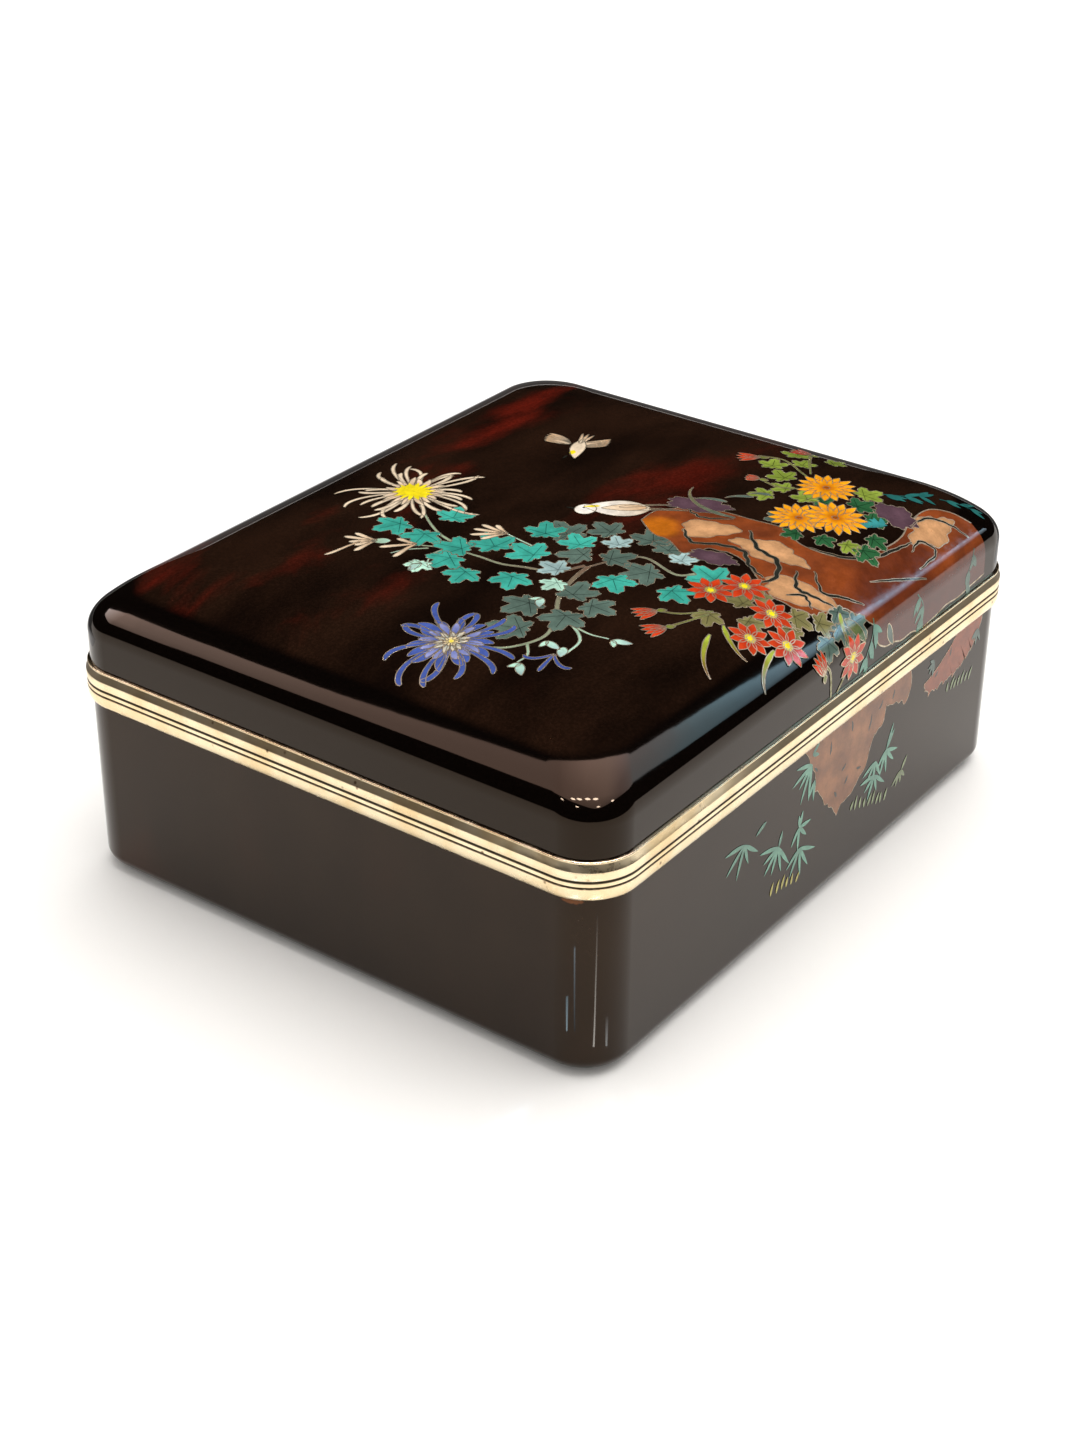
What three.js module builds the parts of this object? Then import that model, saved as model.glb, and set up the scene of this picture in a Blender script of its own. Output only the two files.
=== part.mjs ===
import * as THREE from 'three';

// An enamelled box with a lift-off pillow lid and a pair of gilt rims, in millimetres, +Z up.
// The origin lies on the ground under the middle of the box. The decorated front faces -Y.
// A contour is a rounded rectangle, set in from the outer wall face. An inset below zero stands proud of it.

// Box plan
const WIDTH = 200;
const DEPTH = 168;
const CORNER_RADIUS = 13;

// Enamelled shells
const WALL = 3;
const FLOOR = 3;
const FOOT_INSET = 8;
const FOOT_RISE = 5;

// Heights
const SEAM_HEIGHT = 56.5;
const LID_WALL_TOP = 70;

// Lid pillow: a tight shoulder, then a slope that dies away towards the middle
const SHOULDER_RADIUS = 9;
const SHOULDER_TURN = THREE.MathUtils.degToRad(47);
const PILLOW_POWER = 6.5;
const TOP_CORNER_RADIUS = 26;
const CORNER_GROWTH = 42;
const CORNER_POWER = 1.6;

// Gilt rims
const LOWER_RIM_HEIGHT = 5.5;
const UPPER_RIM_HEIGHT = 5.1;
const RIM_STANDOUT = 1.3;
const RIM_LEAF = 0.8;
const RIM_WEB = 1.2;
const RIM_LAP = 6;
const SEAM_BEVEL = 0.4;
const GROOVE_DROP = 1.6;
const GROOVE_DEPTH = 0.4;
const BEAD_HEIGHT = 0.7;
const COVE_HEIGHT = 1.9;
const COVE_DEPTH = 0.8;

// Collar that keeps the lid in place
const LID_CLEARANCE = 0.4;
const COLLAR_WALL = 1;
const COLLAR_RISE = 3.5;
const COLLAR_LEAD = 0.4;

// Fineness of the faceting
const CORNER_STEPS = 9;
const FOOT_STEPS = 5;
const SHOULDER_STEPS = 6;
const PILLOW_STEPS = 8;

const enamel = new THREE.MeshStandardMaterial({ color: 0x24140e, roughness: 0.12, metalness: 0.1 });
const gilt = new THREE.MeshStandardMaterial({ color: 0xe6c98f, roughness: 0.28, metalness: 1 });

// One contour: four quarter circles, counter-clockwise seen from above.
function contour(inset, z, radius = CORNER_RADIUS - inset) {
  const halfX = WIDTH / 2 - inset;
  const halfY = DEPTH / 2 - inset;
  const r = Math.min(radius, 0.9 * halfX, 0.9 * halfY);
  const points = [];
  for (let corner = 0; corner < 4; corner += 1) {
    const sideX = corner === 0 || corner === 3 ? 1 : -1;
    const sideY = corner < 2 ? 1 : -1;
    for (let step = 0; step <= CORNER_STEPS; step += 1) {
      const turn = (corner + step / CORNER_STEPS) * (Math.PI / 2);
      const x = sideX * (halfX - r) + r * Math.cos(turn);
      const y = sideY * (halfY - r) + r * Math.sin(turn);
      points.push(new THREE.Vector3(x, y, z));
    }
  }
  return points;
}

// Skins a stack of contours. A ring closes on its first contour, and any other solid gets a flat fan at each end.
function loft(contours, isRing) {
  const count = contours[0].length;
  const positions = contours.flat().flatMap((p) => [p.x, p.y, p.z]);
  const indices = [];
  const levels = isRing ? contours.length : contours.length - 1;
  for (let level = 0; level < levels; level += 1) {
    const low = level * count;
    const high = ((level + 1) % contours.length) * count;
    for (let i = 0; i < count; i += 1) {
      const next = (i + 1) % count;
      indices.push(low + i, low + next, high + next);
      indices.push(low + i, high + next, high + i);
    }
  }
  if (!isRing) {
    const first = positions.length / 3;
    const last = first + 1;
    const end = (contours.length - 1) * count;
    positions.push(0, 0, contours[0][0].z);
    positions.push(0, 0, contours.at(-1)[0].z);
    for (let i = 0; i < count; i += 1) {
      const next = (i + 1) % count;
      indices.push(first, next, i);
      indices.push(last, end + i, end + next);
    }
  }
  const geometry = new THREE.BufferGeometry();
  geometry.setAttribute('position', new THREE.Float32BufferAttribute(positions, 3));
  geometry.setIndex(indices);
  geometry.computeVertexNormals();
  return geometry;
}

// Corner radius of the lid's outer contour at an inset, growing from the wall's to the top's.
function lidCornerRadius(inset) {
  const grown = Math.min(inset / CORNER_GROWTH, 1) ** CORNER_POWER;
  return CORNER_RADIUS + (TOP_CORNER_RADIUS - CORNER_RADIUS) * grown;
}

// Outer face of the lid from the top of its upright wall to near its middle: inset, height, and tilt of the face
// normal above level.
function lidProfile() {
  const profile = [];
  for (let step = 0; step <= SHOULDER_STEPS; step += 1) {
    const tilt = SHOULDER_TURN * (step / SHOULDER_STEPS);
    const inset = SHOULDER_RADIUS * (1 - Math.cos(tilt));
    const z = LID_WALL_TOP + SHOULDER_RADIUS * Math.sin(tilt);
    profile.push({ inset, z, tilt });
  }
  const start = profile.at(-1);
  const reach = DEPTH / 2 - start.inset;
  const slope = 1 / Math.tan(SHOULDER_TURN);
  for (let step = 1; step <= PILLOW_STEPS; step += 1) {
    const along = 0.95 * (step / PILLOW_STEPS) ** 1.5;
    const left = 1 - along;
    const inset = start.inset + reach * along;
    const z = start.z + (slope * reach * (1 - left ** PILLOW_POWER)) / PILLOW_POWER;
    const tilt = Math.PI / 2 - Math.atan(slope * left ** (PILLOW_POWER - 1));
    profile.push({ inset, z, tilt });
  }
  return profile;
}

// Enamelled tray: rounded foot, upright walls, and a thinner tongue at the top that the rim grips.
function baseBody() {
  const outside = [];
  const inside = [];
  for (let step = 0; step <= FOOT_STEPS; step += 1) {
    const turn = (step / FOOT_STEPS) * (Math.PI / 2);
    const inset = FOOT_INSET * (1 - Math.sin(turn));
    outside.push(contour(inset, FOOT_RISE * (1 - Math.cos(turn))));
    inside.unshift(contour(WALL + inset, FLOOR + FOOT_RISE * (1 - Math.cos(turn))));
  }
  const rimFoot = SEAM_HEIGHT - LOWER_RIM_HEIGHT;
  const lapFoot = SEAM_HEIGHT - RIM_LAP;
  const tongueTop = SEAM_HEIGHT - RIM_WEB;
  const tongue = [
    contour(0, rimFoot),
    contour(RIM_LEAF, rimFoot),
    contour(RIM_LEAF, tongueTop),
    contour(WALL - RIM_LEAF, tongueTop),
    contour(WALL - RIM_LEAF, lapFoot),
    contour(WALL, lapFoot),
  ];
  return loft([...outside, ...tongue, ...inside], false);
}

// Lower rim: clasps the tray's edge and carries the collar that stands up inside the lid.
function baseRim() {
  const rimFoot = SEAM_HEIGHT - LOWER_RIM_HEIGHT;
  const lapFoot = SEAM_HEIGHT - RIM_LAP;
  const tongueTop = SEAM_HEIGHT - RIM_WEB;
  const collarOut = WALL + LID_CLEARANCE;
  const collarIn = collarOut + COLLAR_WALL;
  const collarTop = SEAM_HEIGHT + COLLAR_RISE;
  const grooveMid = SEAM_HEIGHT - GROOVE_DROP;
  return loft(
    [
      contour(RIM_LEAF, rimFoot),
      contour(0, rimFoot),
      contour(-0.7 * RIM_STANDOUT, rimFoot + 0.15 * LOWER_RIM_HEIGHT),
      contour(-RIM_STANDOUT, rimFoot + 0.4 * LOWER_RIM_HEIGHT),
      contour(-RIM_STANDOUT, grooveMid - GROOVE_DEPTH),
      contour(-RIM_STANDOUT + GROOVE_DEPTH, grooveMid),
      contour(-RIM_STANDOUT, grooveMid + GROOVE_DEPTH),
      contour(-RIM_STANDOUT, SEAM_HEIGHT - SEAM_BEVEL),
      contour(-RIM_STANDOUT + SEAM_BEVEL, SEAM_HEIGHT),
      contour(collarOut, SEAM_HEIGHT),
      contour(collarOut, collarTop - COLLAR_LEAD),
      contour(collarOut + COLLAR_LEAD, collarTop),
      contour(collarIn, collarTop),
      contour(collarIn, lapFoot),
      contour(WALL - RIM_LEAF, lapFoot),
      contour(WALL - RIM_LEAF, tongueTop),
      contour(RIM_LEAF, tongueTop),
    ],
    true,
  );
}

// Upper rim: clasps the lid's edge, rests on the lower rim, and slides over its collar.
function lidRim() {
  const rimHead = SEAM_HEIGHT + UPPER_RIM_HEIGHT;
  const lapHead = SEAM_HEIGHT + RIM_LAP;
  const tongueFoot = SEAM_HEIGHT + RIM_WEB;
  const beadFoot = rimHead - BEAD_HEIGHT;
  return loft(
    [
      contour(WALL, SEAM_HEIGHT),
      contour(-RIM_STANDOUT + SEAM_BEVEL, SEAM_HEIGHT),
      contour(-RIM_STANDOUT, SEAM_HEIGHT + SEAM_BEVEL),
      contour(-RIM_STANDOUT, beadFoot - COVE_HEIGHT),
      contour(-RIM_STANDOUT + 0.6 * COVE_DEPTH, beadFoot - 0.6 * COVE_HEIGHT),
      contour(-RIM_STANDOUT + COVE_DEPTH, beadFoot),
      contour(-RIM_STANDOUT + 0.7 * COVE_DEPTH, beadFoot + 0.4 * BEAD_HEIGHT),
      contour(-0.3 * RIM_STANDOUT, rimHead),
      contour(RIM_LEAF, rimHead),
      contour(RIM_LEAF, tongueFoot),
      contour(WALL - RIM_LEAF, tongueFoot),
      contour(WALL - RIM_LEAF, lapHead),
      contour(WALL, lapHead),
    ],
    true,
  );
}

// Enamelled lid shell: ceiling, inner wall, tongue for the rim, upright outer wall and pillow top.
function lidShell() {
  const profile = lidProfile();
  const outside = profile.map(({ inset, z }) => contour(inset, z, lidCornerRadius(inset)));
  const inside = profile.map(({ inset, z, tilt }) => {
    const inward = WALL * Math.cos(tilt);
    return contour(inset + inward, z - WALL * Math.sin(tilt), lidCornerRadius(inset) - inward);
  });
  const rimHead = SEAM_HEIGHT + UPPER_RIM_HEIGHT;
  const lapHead = SEAM_HEIGHT + RIM_LAP;
  const tongueFoot = SEAM_HEIGHT + RIM_WEB;
  const tongue = [
    contour(WALL, lapHead),
    contour(WALL - RIM_LEAF, lapHead),
    contour(WALL - RIM_LEAF, tongueFoot),
    contour(RIM_LEAF, tongueFoot),
    contour(RIM_LEAF, rimHead),
    contour(0, rimHead),
  ];
  return loft([...inside.reverse(), ...tongue, ...outside], false);
}

// A named mesh
function piece(name, geometry, material) {
  const mesh = new THREE.Mesh(geometry, material);
  mesh.name = name;
  return mesh;
}

const group = new THREE.Group();
group.add(piece('base_body', baseBody(), enamel));
group.add(piece('base_rim', baseRim(), gilt));
group.add(piece('lid_rim', lidRim(), gilt));
group.add(piece('lid_shell', lidShell(), enamel));

export default group;
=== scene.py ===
import bpy
import numpy as np
from mathutils import Matrix, Vector


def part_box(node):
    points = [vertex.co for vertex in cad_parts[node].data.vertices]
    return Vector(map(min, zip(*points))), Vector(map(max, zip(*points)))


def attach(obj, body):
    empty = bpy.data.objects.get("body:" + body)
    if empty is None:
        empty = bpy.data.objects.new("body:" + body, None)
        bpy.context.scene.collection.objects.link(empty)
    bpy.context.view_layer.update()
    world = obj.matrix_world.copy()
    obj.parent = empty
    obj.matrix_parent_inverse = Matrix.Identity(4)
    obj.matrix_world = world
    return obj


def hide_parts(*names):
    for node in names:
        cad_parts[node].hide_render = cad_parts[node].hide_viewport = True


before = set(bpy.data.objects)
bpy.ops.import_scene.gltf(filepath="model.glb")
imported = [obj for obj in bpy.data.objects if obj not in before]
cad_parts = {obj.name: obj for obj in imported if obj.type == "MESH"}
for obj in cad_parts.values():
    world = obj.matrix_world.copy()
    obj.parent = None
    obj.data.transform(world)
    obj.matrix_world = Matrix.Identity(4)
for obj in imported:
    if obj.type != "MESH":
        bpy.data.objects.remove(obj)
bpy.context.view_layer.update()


# Tray
# A copper tray with dark enamel fused over it inside and out. Its foot is rounded, its walls are upright,
# and a thinner tongue along the top edge goes into the rim. One wall profile is carried round a rounded
# rectangle.
MM = 0.001
tray_high = np.array(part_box("base_body")[1]) / MM
lower_rim_low, lower_rim_high = np.array(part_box("base_rim")) / MM
HALF_LENGTH = tray_high[0]
HALF_DEPTH = tray_high[1]
CORNER_RADIUS = 13.0
CORNER_STEPS = 22
WALL = 3.0
FLOOR = 3.0
FOOT_INSET = 8.0
FOOT_RISE = 5.0
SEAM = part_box("lid_rim")[0][2] / MM
UPPER_RIM_HEIGHT = 5.1
LOWER_RIM_HEIGHT = 5.5
LOWER_RIM_FOOT = SEAM - LOWER_RIM_HEIGHT
UPPER_RIM_HEAD = SEAM + UPPER_RIM_HEIGHT
RIM_LEAF = 0.8
RIM_WEB = 1.2
RIM_LAP = SEAM - lower_rim_low[2]
SMOOTH_ANGLE = np.radians(40)
STAIN_FLATNESS = 2.6
STAIN_PLACE = (-0.0992, -0.0755, 0.1316)
STAIN_FALL = 300.0
BROWN_FADE = 0.0016


def linear(red, green, blue):
    """A screen colour, 0 to 255, as the light it stands for: roughly its share to the power 2.2."""
    share = np.array([red, green, blue]) / 255
    return np.where(share < 0.04045, share / 12.92, ((share + 0.055) / 1.055) ** 2.4)


def pointing(turn):
    """Unit vectors (cosine, sine) of one turn, or of a row of them."""
    return np.stack([np.cos(turn), np.sin(turn)], axis=-1)


def contours(inset, height, radius):
    """Rounded rectangles, one per inset: corner centre plus radius times (cosine, sine) of the turn."""
    corner = np.repeat(np.arange(4), CORNER_STEPS + 1)
    turn = (corner + np.tile(np.linspace(0, 1, CORNER_STEPS + 1), 4)) * np.pi / 2
    side_x = np.array([1, -1, -1, 1])[corner]
    side_y = np.array([1, 1, -1, -1])[corner]
    across = (HALF_LENGTH - inset - radius)[:, None]
    deep = (HALF_DEPTH - inset - radius)[:, None]
    x = side_x * across + radius[:, None] * np.cos(turn)
    y = side_y * deep + radius[:, None] * np.sin(turn)
    z = np.repeat(height[:, None], len(turn), axis=1)
    return np.stack([x, y, z], axis=2), turn


def loft_normals(inset, height, radius, turn, ring):
    """Normals at both ends of each profile stretch. A stretch that goes up by dz and in by di leans (dz,
    di), where di grows at the corners with their radius. Stretches that meet at under 40 degrees share
    their mean normal."""
    if ring:
        inset, height, radius = (np.append(v, v[0]) for v in (inset, height, radius))
    spread = np.abs(np.cos(turn)) + np.abs(np.sin(turn)) - 1
    inward = np.diff(inset)[:, None] + (np.diff(inset) + np.diff(radius))[:, None] * spread
    upward = np.repeat(np.diff(height)[:, None], len(turn), axis=1)
    lean = np.stack([upward, inward], axis=2)
    lean /= np.linalg.norm(lean, axis=2, keepdims=True)
    before = np.roll(lean, 1, axis=0)
    after = np.roll(lean, -1, axis=0)
    if not ring:
        before[0] = lean[0]
        after[-1] = lean[-1]
    smooth = np.cos(SMOOTH_ANGLE)
    start = np.where(np.sum(before * lean, axis=2, keepdims=True) > smooth, before + lean, lean)
    end = np.where(np.sum(after * lean, axis=2, keepdims=True) > smooth, after + lean, lean)
    return start, end


def loft(name, inset, height, radius, ring, material):
    """Skins contours stacked along a profile. A ring closes on itself, any other solid is capped flat."""
    inset, height, radius = (np.asarray(v, float) for v in (inset, height, radius))
    points, turn = contours(inset, height, radius)
    rows, count = points.shape[:2]
    levels = rows if ring else rows - 1
    low = np.arange(levels)[:, None] * count
    high = (np.arange(1, levels + 1)[:, None] % rows) * count
    here = np.arange(count)[None, :]
    beside = (here + 1) % count
    quads = np.stack([low + here, low + beside, high + beside, high + here], axis=2).reshape(-1, 4)
    start, end = loft_normals(inset, height, radius, turn, ring)
    around = pointing(turn)[None]

    def full(lean):
        flat = lean[:, :, :1] * around
        normal = np.concatenate([flat, lean[:, :, 1:]], axis=2)
        return normal / np.linalg.norm(normal, axis=2, keepdims=True)

    first, last = full(start), full(end)
    following = np.roll(np.arange(count), -1)
    corners = [first, first[:, following], last[:, following], last]
    normals = np.stack(corners, axis=2).reshape(-1, 3)
    faces = quads.tolist()
    if not ring:
        faces.append(list(range(count))[::-1])
        faces.append(list(range((rows - 1) * count, rows * count)))
        caps = np.repeat([[0.0, 0.0, -1.0], [0.0, 0.0, 1.0]], count, axis=0)
        normals = np.concatenate([normals, caps])
    mesh = bpy.data.meshes.new(name)
    mesh.from_pydata((points.reshape(-1, 3) * MM).tolist(), [], faces)
    mesh.materials.append(material)
    mesh.shade_smooth()
    mesh.normals_split_custom_set(normals.tolist())
    piece = bpy.data.objects.new(name, mesh)
    bpy.context.collection.objects.link(piece)
    return piece


class Shader:
    """A short way to write material nodes: each call adds a node, and links or sets its inputs by name."""

    def __init__(self, name):
        self.material = bpy.data.materials.new(name)
        self.material.use_nodes = True
        self.nodes = self.material.node_tree.nodes
        self.links = self.material.node_tree.links
        self.principled = self.nodes["Principled BSDF"]

    def put(self, target, value):
        if isinstance(value, bpy.types.NodeSocket):
            self.links.new(value, target)
        else:
            target.default_value = value

    def node(self, kind, output=0, settings=None, **inputs):
        node = self.nodes.new(kind)
        for key, value in (settings or {}).items():
            setattr(node, key, value)
        for key, value in inputs.items():
            socket = node.inputs[int(key[1:])] if key[1:].isdigit() else node.inputs[key.replace("_", " ")]
            self.put(socket, value)
        return node.outputs[output]

    def place(self, scale=(1, 1, 1)):
        where = self.node("ShaderNodeTexCoord", "Object")
        return self.node("ShaderNodeMapping", Vector=where, Scale=scale)

    def noise(self, where, scale, detail=4.0, roughness=0.5):
        inputs = {"Scale": scale, "Detail": detail, "Roughness": roughness}
        return self.node("ShaderNodeTexNoise", "Fac", Vector=where, **inputs)

    def ramp(self, value, low, high, to_low=0.0, to_high=1.0):
        kind = {"interpolation_type": "SMOOTHSTEP"}
        ends = {"From_Min": low, "From_Max": high, "To_Min": to_low, "To_Max": to_high}
        return self.node("ShaderNodeMapRange", "Result", kind, Value=value, **ends)

    def mix(self, share, first, second):
        return self.node("ShaderNodeMix", 2, {"data_type": "RGBA"}, _0=share, _6=first, _7=second)

    def math(self, operation, first, second):
        return self.node("ShaderNodeMath", 0, {"operation": operation}, _0=first, _1=second)

    def axis(self, where, letter):
        return self.node("ShaderNodeSeparateXYZ", letter, Vector=where)

    def distance(self, where, place):
        return self.node("ShaderNodeVectorMath", "Value", {"operation": "DISTANCE"}, _0=where, _1=place)

    def scaled(self, tint, share):
        return self.node("ShaderNodeVectorMath", 0, {"operation": "SCALE"}, _0=tint, Scale=share)

    def bump(self, height, strength, distance):
        return self.node("ShaderNodeBump", 0, Height=height, Strength=strength, Distance=distance)

    def finish(self, **inputs):
        for key, value in inputs.items():
            self.put(self.principled.inputs[key.replace("_", " ")], value)
        return self.material


def colour(red, green, blue):
    """A screen colour as the four numbers of a colour socket."""
    return (*linear(red, green, blue).tolist(), 1.0)


def dark_enamel(name, body_tint, cloud_tint, brown_above):
    """Near-black brown glass. Above a height its brown body shows, with red goldstone clouds drawn out
    along the box. The clouds are a noise that a second noise bends, and gather towards the back. A brown
    stain lies under the rim by the front left corner, where a noise is larger than the distance from its
    middle. Its place is in metres, with the height stretched by its flatness, and it falls off per metre."""
    shader = Shader(name)
    where = shader.place()
    drawn = shader.place((1.0, 2.2, 1.6))
    bend = shader.noise(drawn, 8.0, 3.0)
    add = {"operation": "MULTIPLY_ADD"}
    moved = shader.node("ShaderNodeVectorMath", 0, add, _0=bend, _1=(0.07, 0.07, 0.07), _2=drawn)
    cloud = shader.ramp(shader.noise(moved, 15.0, 5.0, 0.5), 0.52, 0.74)
    gathered = shader.math("MULTIPLY", cloud, shader.ramp(shader.axis(where, "Y"), -0.06, 0.04, 0.12, 1.0))
    body = shader.mix(shader.ramp(shader.noise(drawn, 22.0, 4.0), 0.3, 0.7), body_tint, colour(16, 8, 5))
    clouded = shader.mix(gathered, body, cloud_tint)
    above = shader.ramp(shader.axis(where, "Z"), brown_above, brown_above + BROWN_FADE)
    cleared = shader.mix(above, colour(7, 4, 3), clouded)
    grain = shader.ramp(shader.noise(where, 1400.0, 2.0), 0.35, 0.75, 0.8, 1.25)
    specks = shader.node("ShaderNodeTexVoronoi", "Distance", Vector=where, Scale=160.0)
    dust = shader.math("MULTIPLY", shader.ramp(specks, 0.0, 0.02, 1.0, 0.0), 0.3)
    dusty = shader.mix(dust, shader.scaled(cleared, grain), colour(120, 96, 80))
    away = shader.distance(shader.place((1.0, 1.0, STAIN_FLATNESS)), STAIN_PLACE)
    smear = shader.math("ADD", shader.math("MULTIPLY", away, -STAIN_FALL), shader.noise(where, 900.0, 3.0))
    stained = shader.mix(shader.ramp(smear, -0.35, -0.1, 0.0, 0.8), dusty, colour(104, 60, 32))
    wave = shader.bump(shader.noise(where, 60.0, 2.0), 0.05, 0.0006)
    tint = (1.0, 0.74, 0.54, 1.0)
    return shader.finish(Base_Color=stained, Roughness=0.05, IOR=1.37, Specular_Tint=tint, Normal=wave)


tray_enamel = dark_enamel("tray enamel", colour(26, 17, 11), colour(40, 21, 13), 0.0)
foot_turn = np.linspace(0, np.pi / 2, 15)
foot_inset = FOOT_INSET * (1 - np.sin(foot_turn))
foot_height = FOOT_RISE * (1 - np.cos(foot_turn))
tray_inset = np.concatenate(
    [
        foot_inset,
        [0, RIM_LEAF, RIM_LEAF, WALL - RIM_LEAF, WALL - RIM_LEAF, WALL],
        WALL + foot_inset[::-1],
    ]
)
tray_height = np.concatenate(
    [
        foot_height,
        [LOWER_RIM_FOOT, LOWER_RIM_FOOT, SEAM - RIM_WEB, SEAM - RIM_WEB, SEAM - RIM_LAP, SEAM - RIM_LAP],
        FLOOR + foot_height[::-1],
    ]
)
tray = loft("tray", tray_inset, tray_height, CORNER_RADIUS - tray_inset, False, tray_enamel)
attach(tray, "root")
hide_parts("base_body")


# Rims
# Two gilt strips, drawn to section and soldered round the edges of tray and lid. The lower one has a fine
# groove and carries the collar inside. The upper one has a cove under a thin bead.
STANDOUT = lower_rim_high[0] - HALF_LENGTH
SEAM_BEVEL = 0.4
GROOVE_DROP = 1.6
GROOVE_DEPTH = 0.4
SWELL_HEIGHT = 2.4
SWELL_START = 0.05
SEAM_LIP = 0.12
BEAD_HEIGHT = 0.7
BEAD_RADIUS = BEAD_HEIGHT / 2
BEAD_SETBACK = 0.85
COVE_HEIGHT = 1.9
COVE_DEPTH = 0.8
LID_CLEARANCE = 0.4
COLLAR_WALL = 1.0
COLLAR_OUT = WALL + LID_CLEARANCE
COLLAR_IN = COLLAR_OUT + COLLAR_WALL
COLLAR_TOP = lower_rim_high[2]
COLLAR_LEAD = 0.4
WORN_CORNER = (-0.08, -0.085, 0.06)


def gilt_metal():
    """Pale gilding over brass: smooth, with faint drawing lines, dark lines in the groove and along the seam
    that are painted shade with some settled grime, and small brown pits that gather at the front left
    corner, where the box is held. The cove is tarnished all along, and least at that corner."""
    shader = Shader("gilt")
    where = shader.place()
    height = shader.axis(where, "Z")
    patch = shader.noise(where, 90.0, 4.0)
    tone = shader.mix(shader.ramp(patch, 0.35, 0.7), colour(246, 228, 192), colour(232, 206, 160))
    painted_shade_grime_and_tarnish = 0.0
    # The groove and the seam get dark lines: painted shade, with some settled grime.
    for line, reach in ((SEAM - GROOVE_DROP, 0.42), (SEAM, 0.5)):
        off = shader.math("ABSOLUTE", shader.math("SUBTRACT", height, line * MM), 0.0)
        painted_shade_grime_and_tarnish = shader.math("MAXIMUM", shader.ramp(off, 0.55 * reach * MM, reach * MM, 0.9, 0.0), painted_shade_grime_and_tarnish)
    cove_middle = UPPER_RIM_HEAD - BEAD_HEIGHT - 0.5 * COVE_HEIGHT
    off = shader.math("ABSOLUTE", shader.math("SUBTRACT", height, cove_middle * MM), 0.0)
    away = shader.distance(where, WORN_CORNER)
    tarnish = shader.ramp(off, 0.4 * COVE_HEIGHT * MM, 0.55 * COVE_HEIGHT * MM, 0.78, 0.0)
    rubbed = shader.math("MULTIPLY", tarnish, shader.ramp(away, 0.015, 0.05, 0.15, 1.0))
    painted_shade_grime_and_tarnish = shader.math("MAXIMUM", rubbed, painted_shade_grime_and_tarnish)
    spots = shader.node("ShaderNodeTexVoronoi", "Distance", Vector=where, Scale=300.0)
    gathered = shader.math("ADD", shader.noise(where, 130.0, 2.0), shader.ramp(away, 0.012, 0.05, 0.1, 0.0))
    spotted = shader.ramp(spots, 0.05, 0.2, 1.0, 0.0)
    speck = shader.math("MULTIPLY", spotted, shader.ramp(gathered, 0.54, 0.61))
    stained = shader.mix(shader.math("MULTIPLY", speck, 0.85), tone, colour(92, 60, 34))
    shaded_grimy_tone = shader.mix(painted_shade_grime_and_tarnish, stained, colour(38, 28, 18))
    lines = shader.noise(shader.place((0.4, 0.4, 30.0)), 150.0, 2.0)
    rough = shader.ramp(shader.noise(where, 240.0, 3.0), 0.3, 0.8, 0.2, 0.34)
    dull = shader.math("ADD", rough, shader.math("MULTIPLY", painted_shade_grime_and_tarnish, 0.3))
    relief = shader.math("SUBTRACT", shader.math("MULTIPLY", lines, 0.4), speck)
    bump = shader.bump(relief, 0.12, 0.0001)
    return shader.finish(Base_Color=shaded_grimy_tone, Metallic=1.0, Roughness=dull, Normal=bump)


gilt = gilt_metal()
face_turn = np.linspace(0, np.pi / 2, 5)
swell_height = LOWER_RIM_FOOT + SWELL_HEIGHT * (1 - np.cos(face_turn)) + SWELL_START
groove_middle = SEAM - GROOVE_DROP
groove_turn = np.linspace(-1, 1, 7)
groove_inset = -STANDOUT + GROOVE_DEPTH * (1 - groove_turn**2)
lower_rim_profile = np.array(
    [
        (RIM_LEAF, LOWER_RIM_FOOT),
        (0, LOWER_RIM_FOOT),
        *zip(-STANDOUT * np.sin(face_turn) ** 0.8, swell_height),
        (-STANDOUT, groove_middle - GROOVE_DEPTH),
        *zip(groove_inset, groove_middle + 0.8 * GROOVE_DEPTH * groove_turn),
        (-STANDOUT, groove_middle + GROOVE_DEPTH),
        (-STANDOUT, SEAM - SEAM_BEVEL),
        (-STANDOUT + 0.3 * SEAM_BEVEL, SEAM - 0.3 * SEAM_BEVEL),
        (-STANDOUT + SEAM_BEVEL, SEAM - SEAM_LIP),
        (-STANDOUT + SEAM_BEVEL, SEAM),
        (COLLAR_OUT, SEAM),
        (COLLAR_OUT, COLLAR_TOP - COLLAR_LEAD),
        (COLLAR_OUT + 0.3 * COLLAR_LEAD, COLLAR_TOP - 0.3 * COLLAR_LEAD),
        (COLLAR_OUT + COLLAR_LEAD, COLLAR_TOP),
        (COLLAR_IN, COLLAR_TOP),
        (COLLAR_IN, SEAM - RIM_LAP),
        (WALL - RIM_LEAF, SEAM - RIM_LAP),
        (WALL - RIM_LEAF, SEAM - RIM_WEB),
        (RIM_LEAF, SEAM - RIM_WEB),
    ]
)
bead_foot = UPPER_RIM_HEAD - BEAD_HEIGHT
cove_share = np.linspace(0.08, 1, 6)
bead_turn = np.linspace(-0.35 * np.pi, 0.5 * np.pi, 7)
bead_inset = -STANDOUT + BEAD_SETBACK - BEAD_RADIUS * np.cos(bead_turn)
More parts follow.
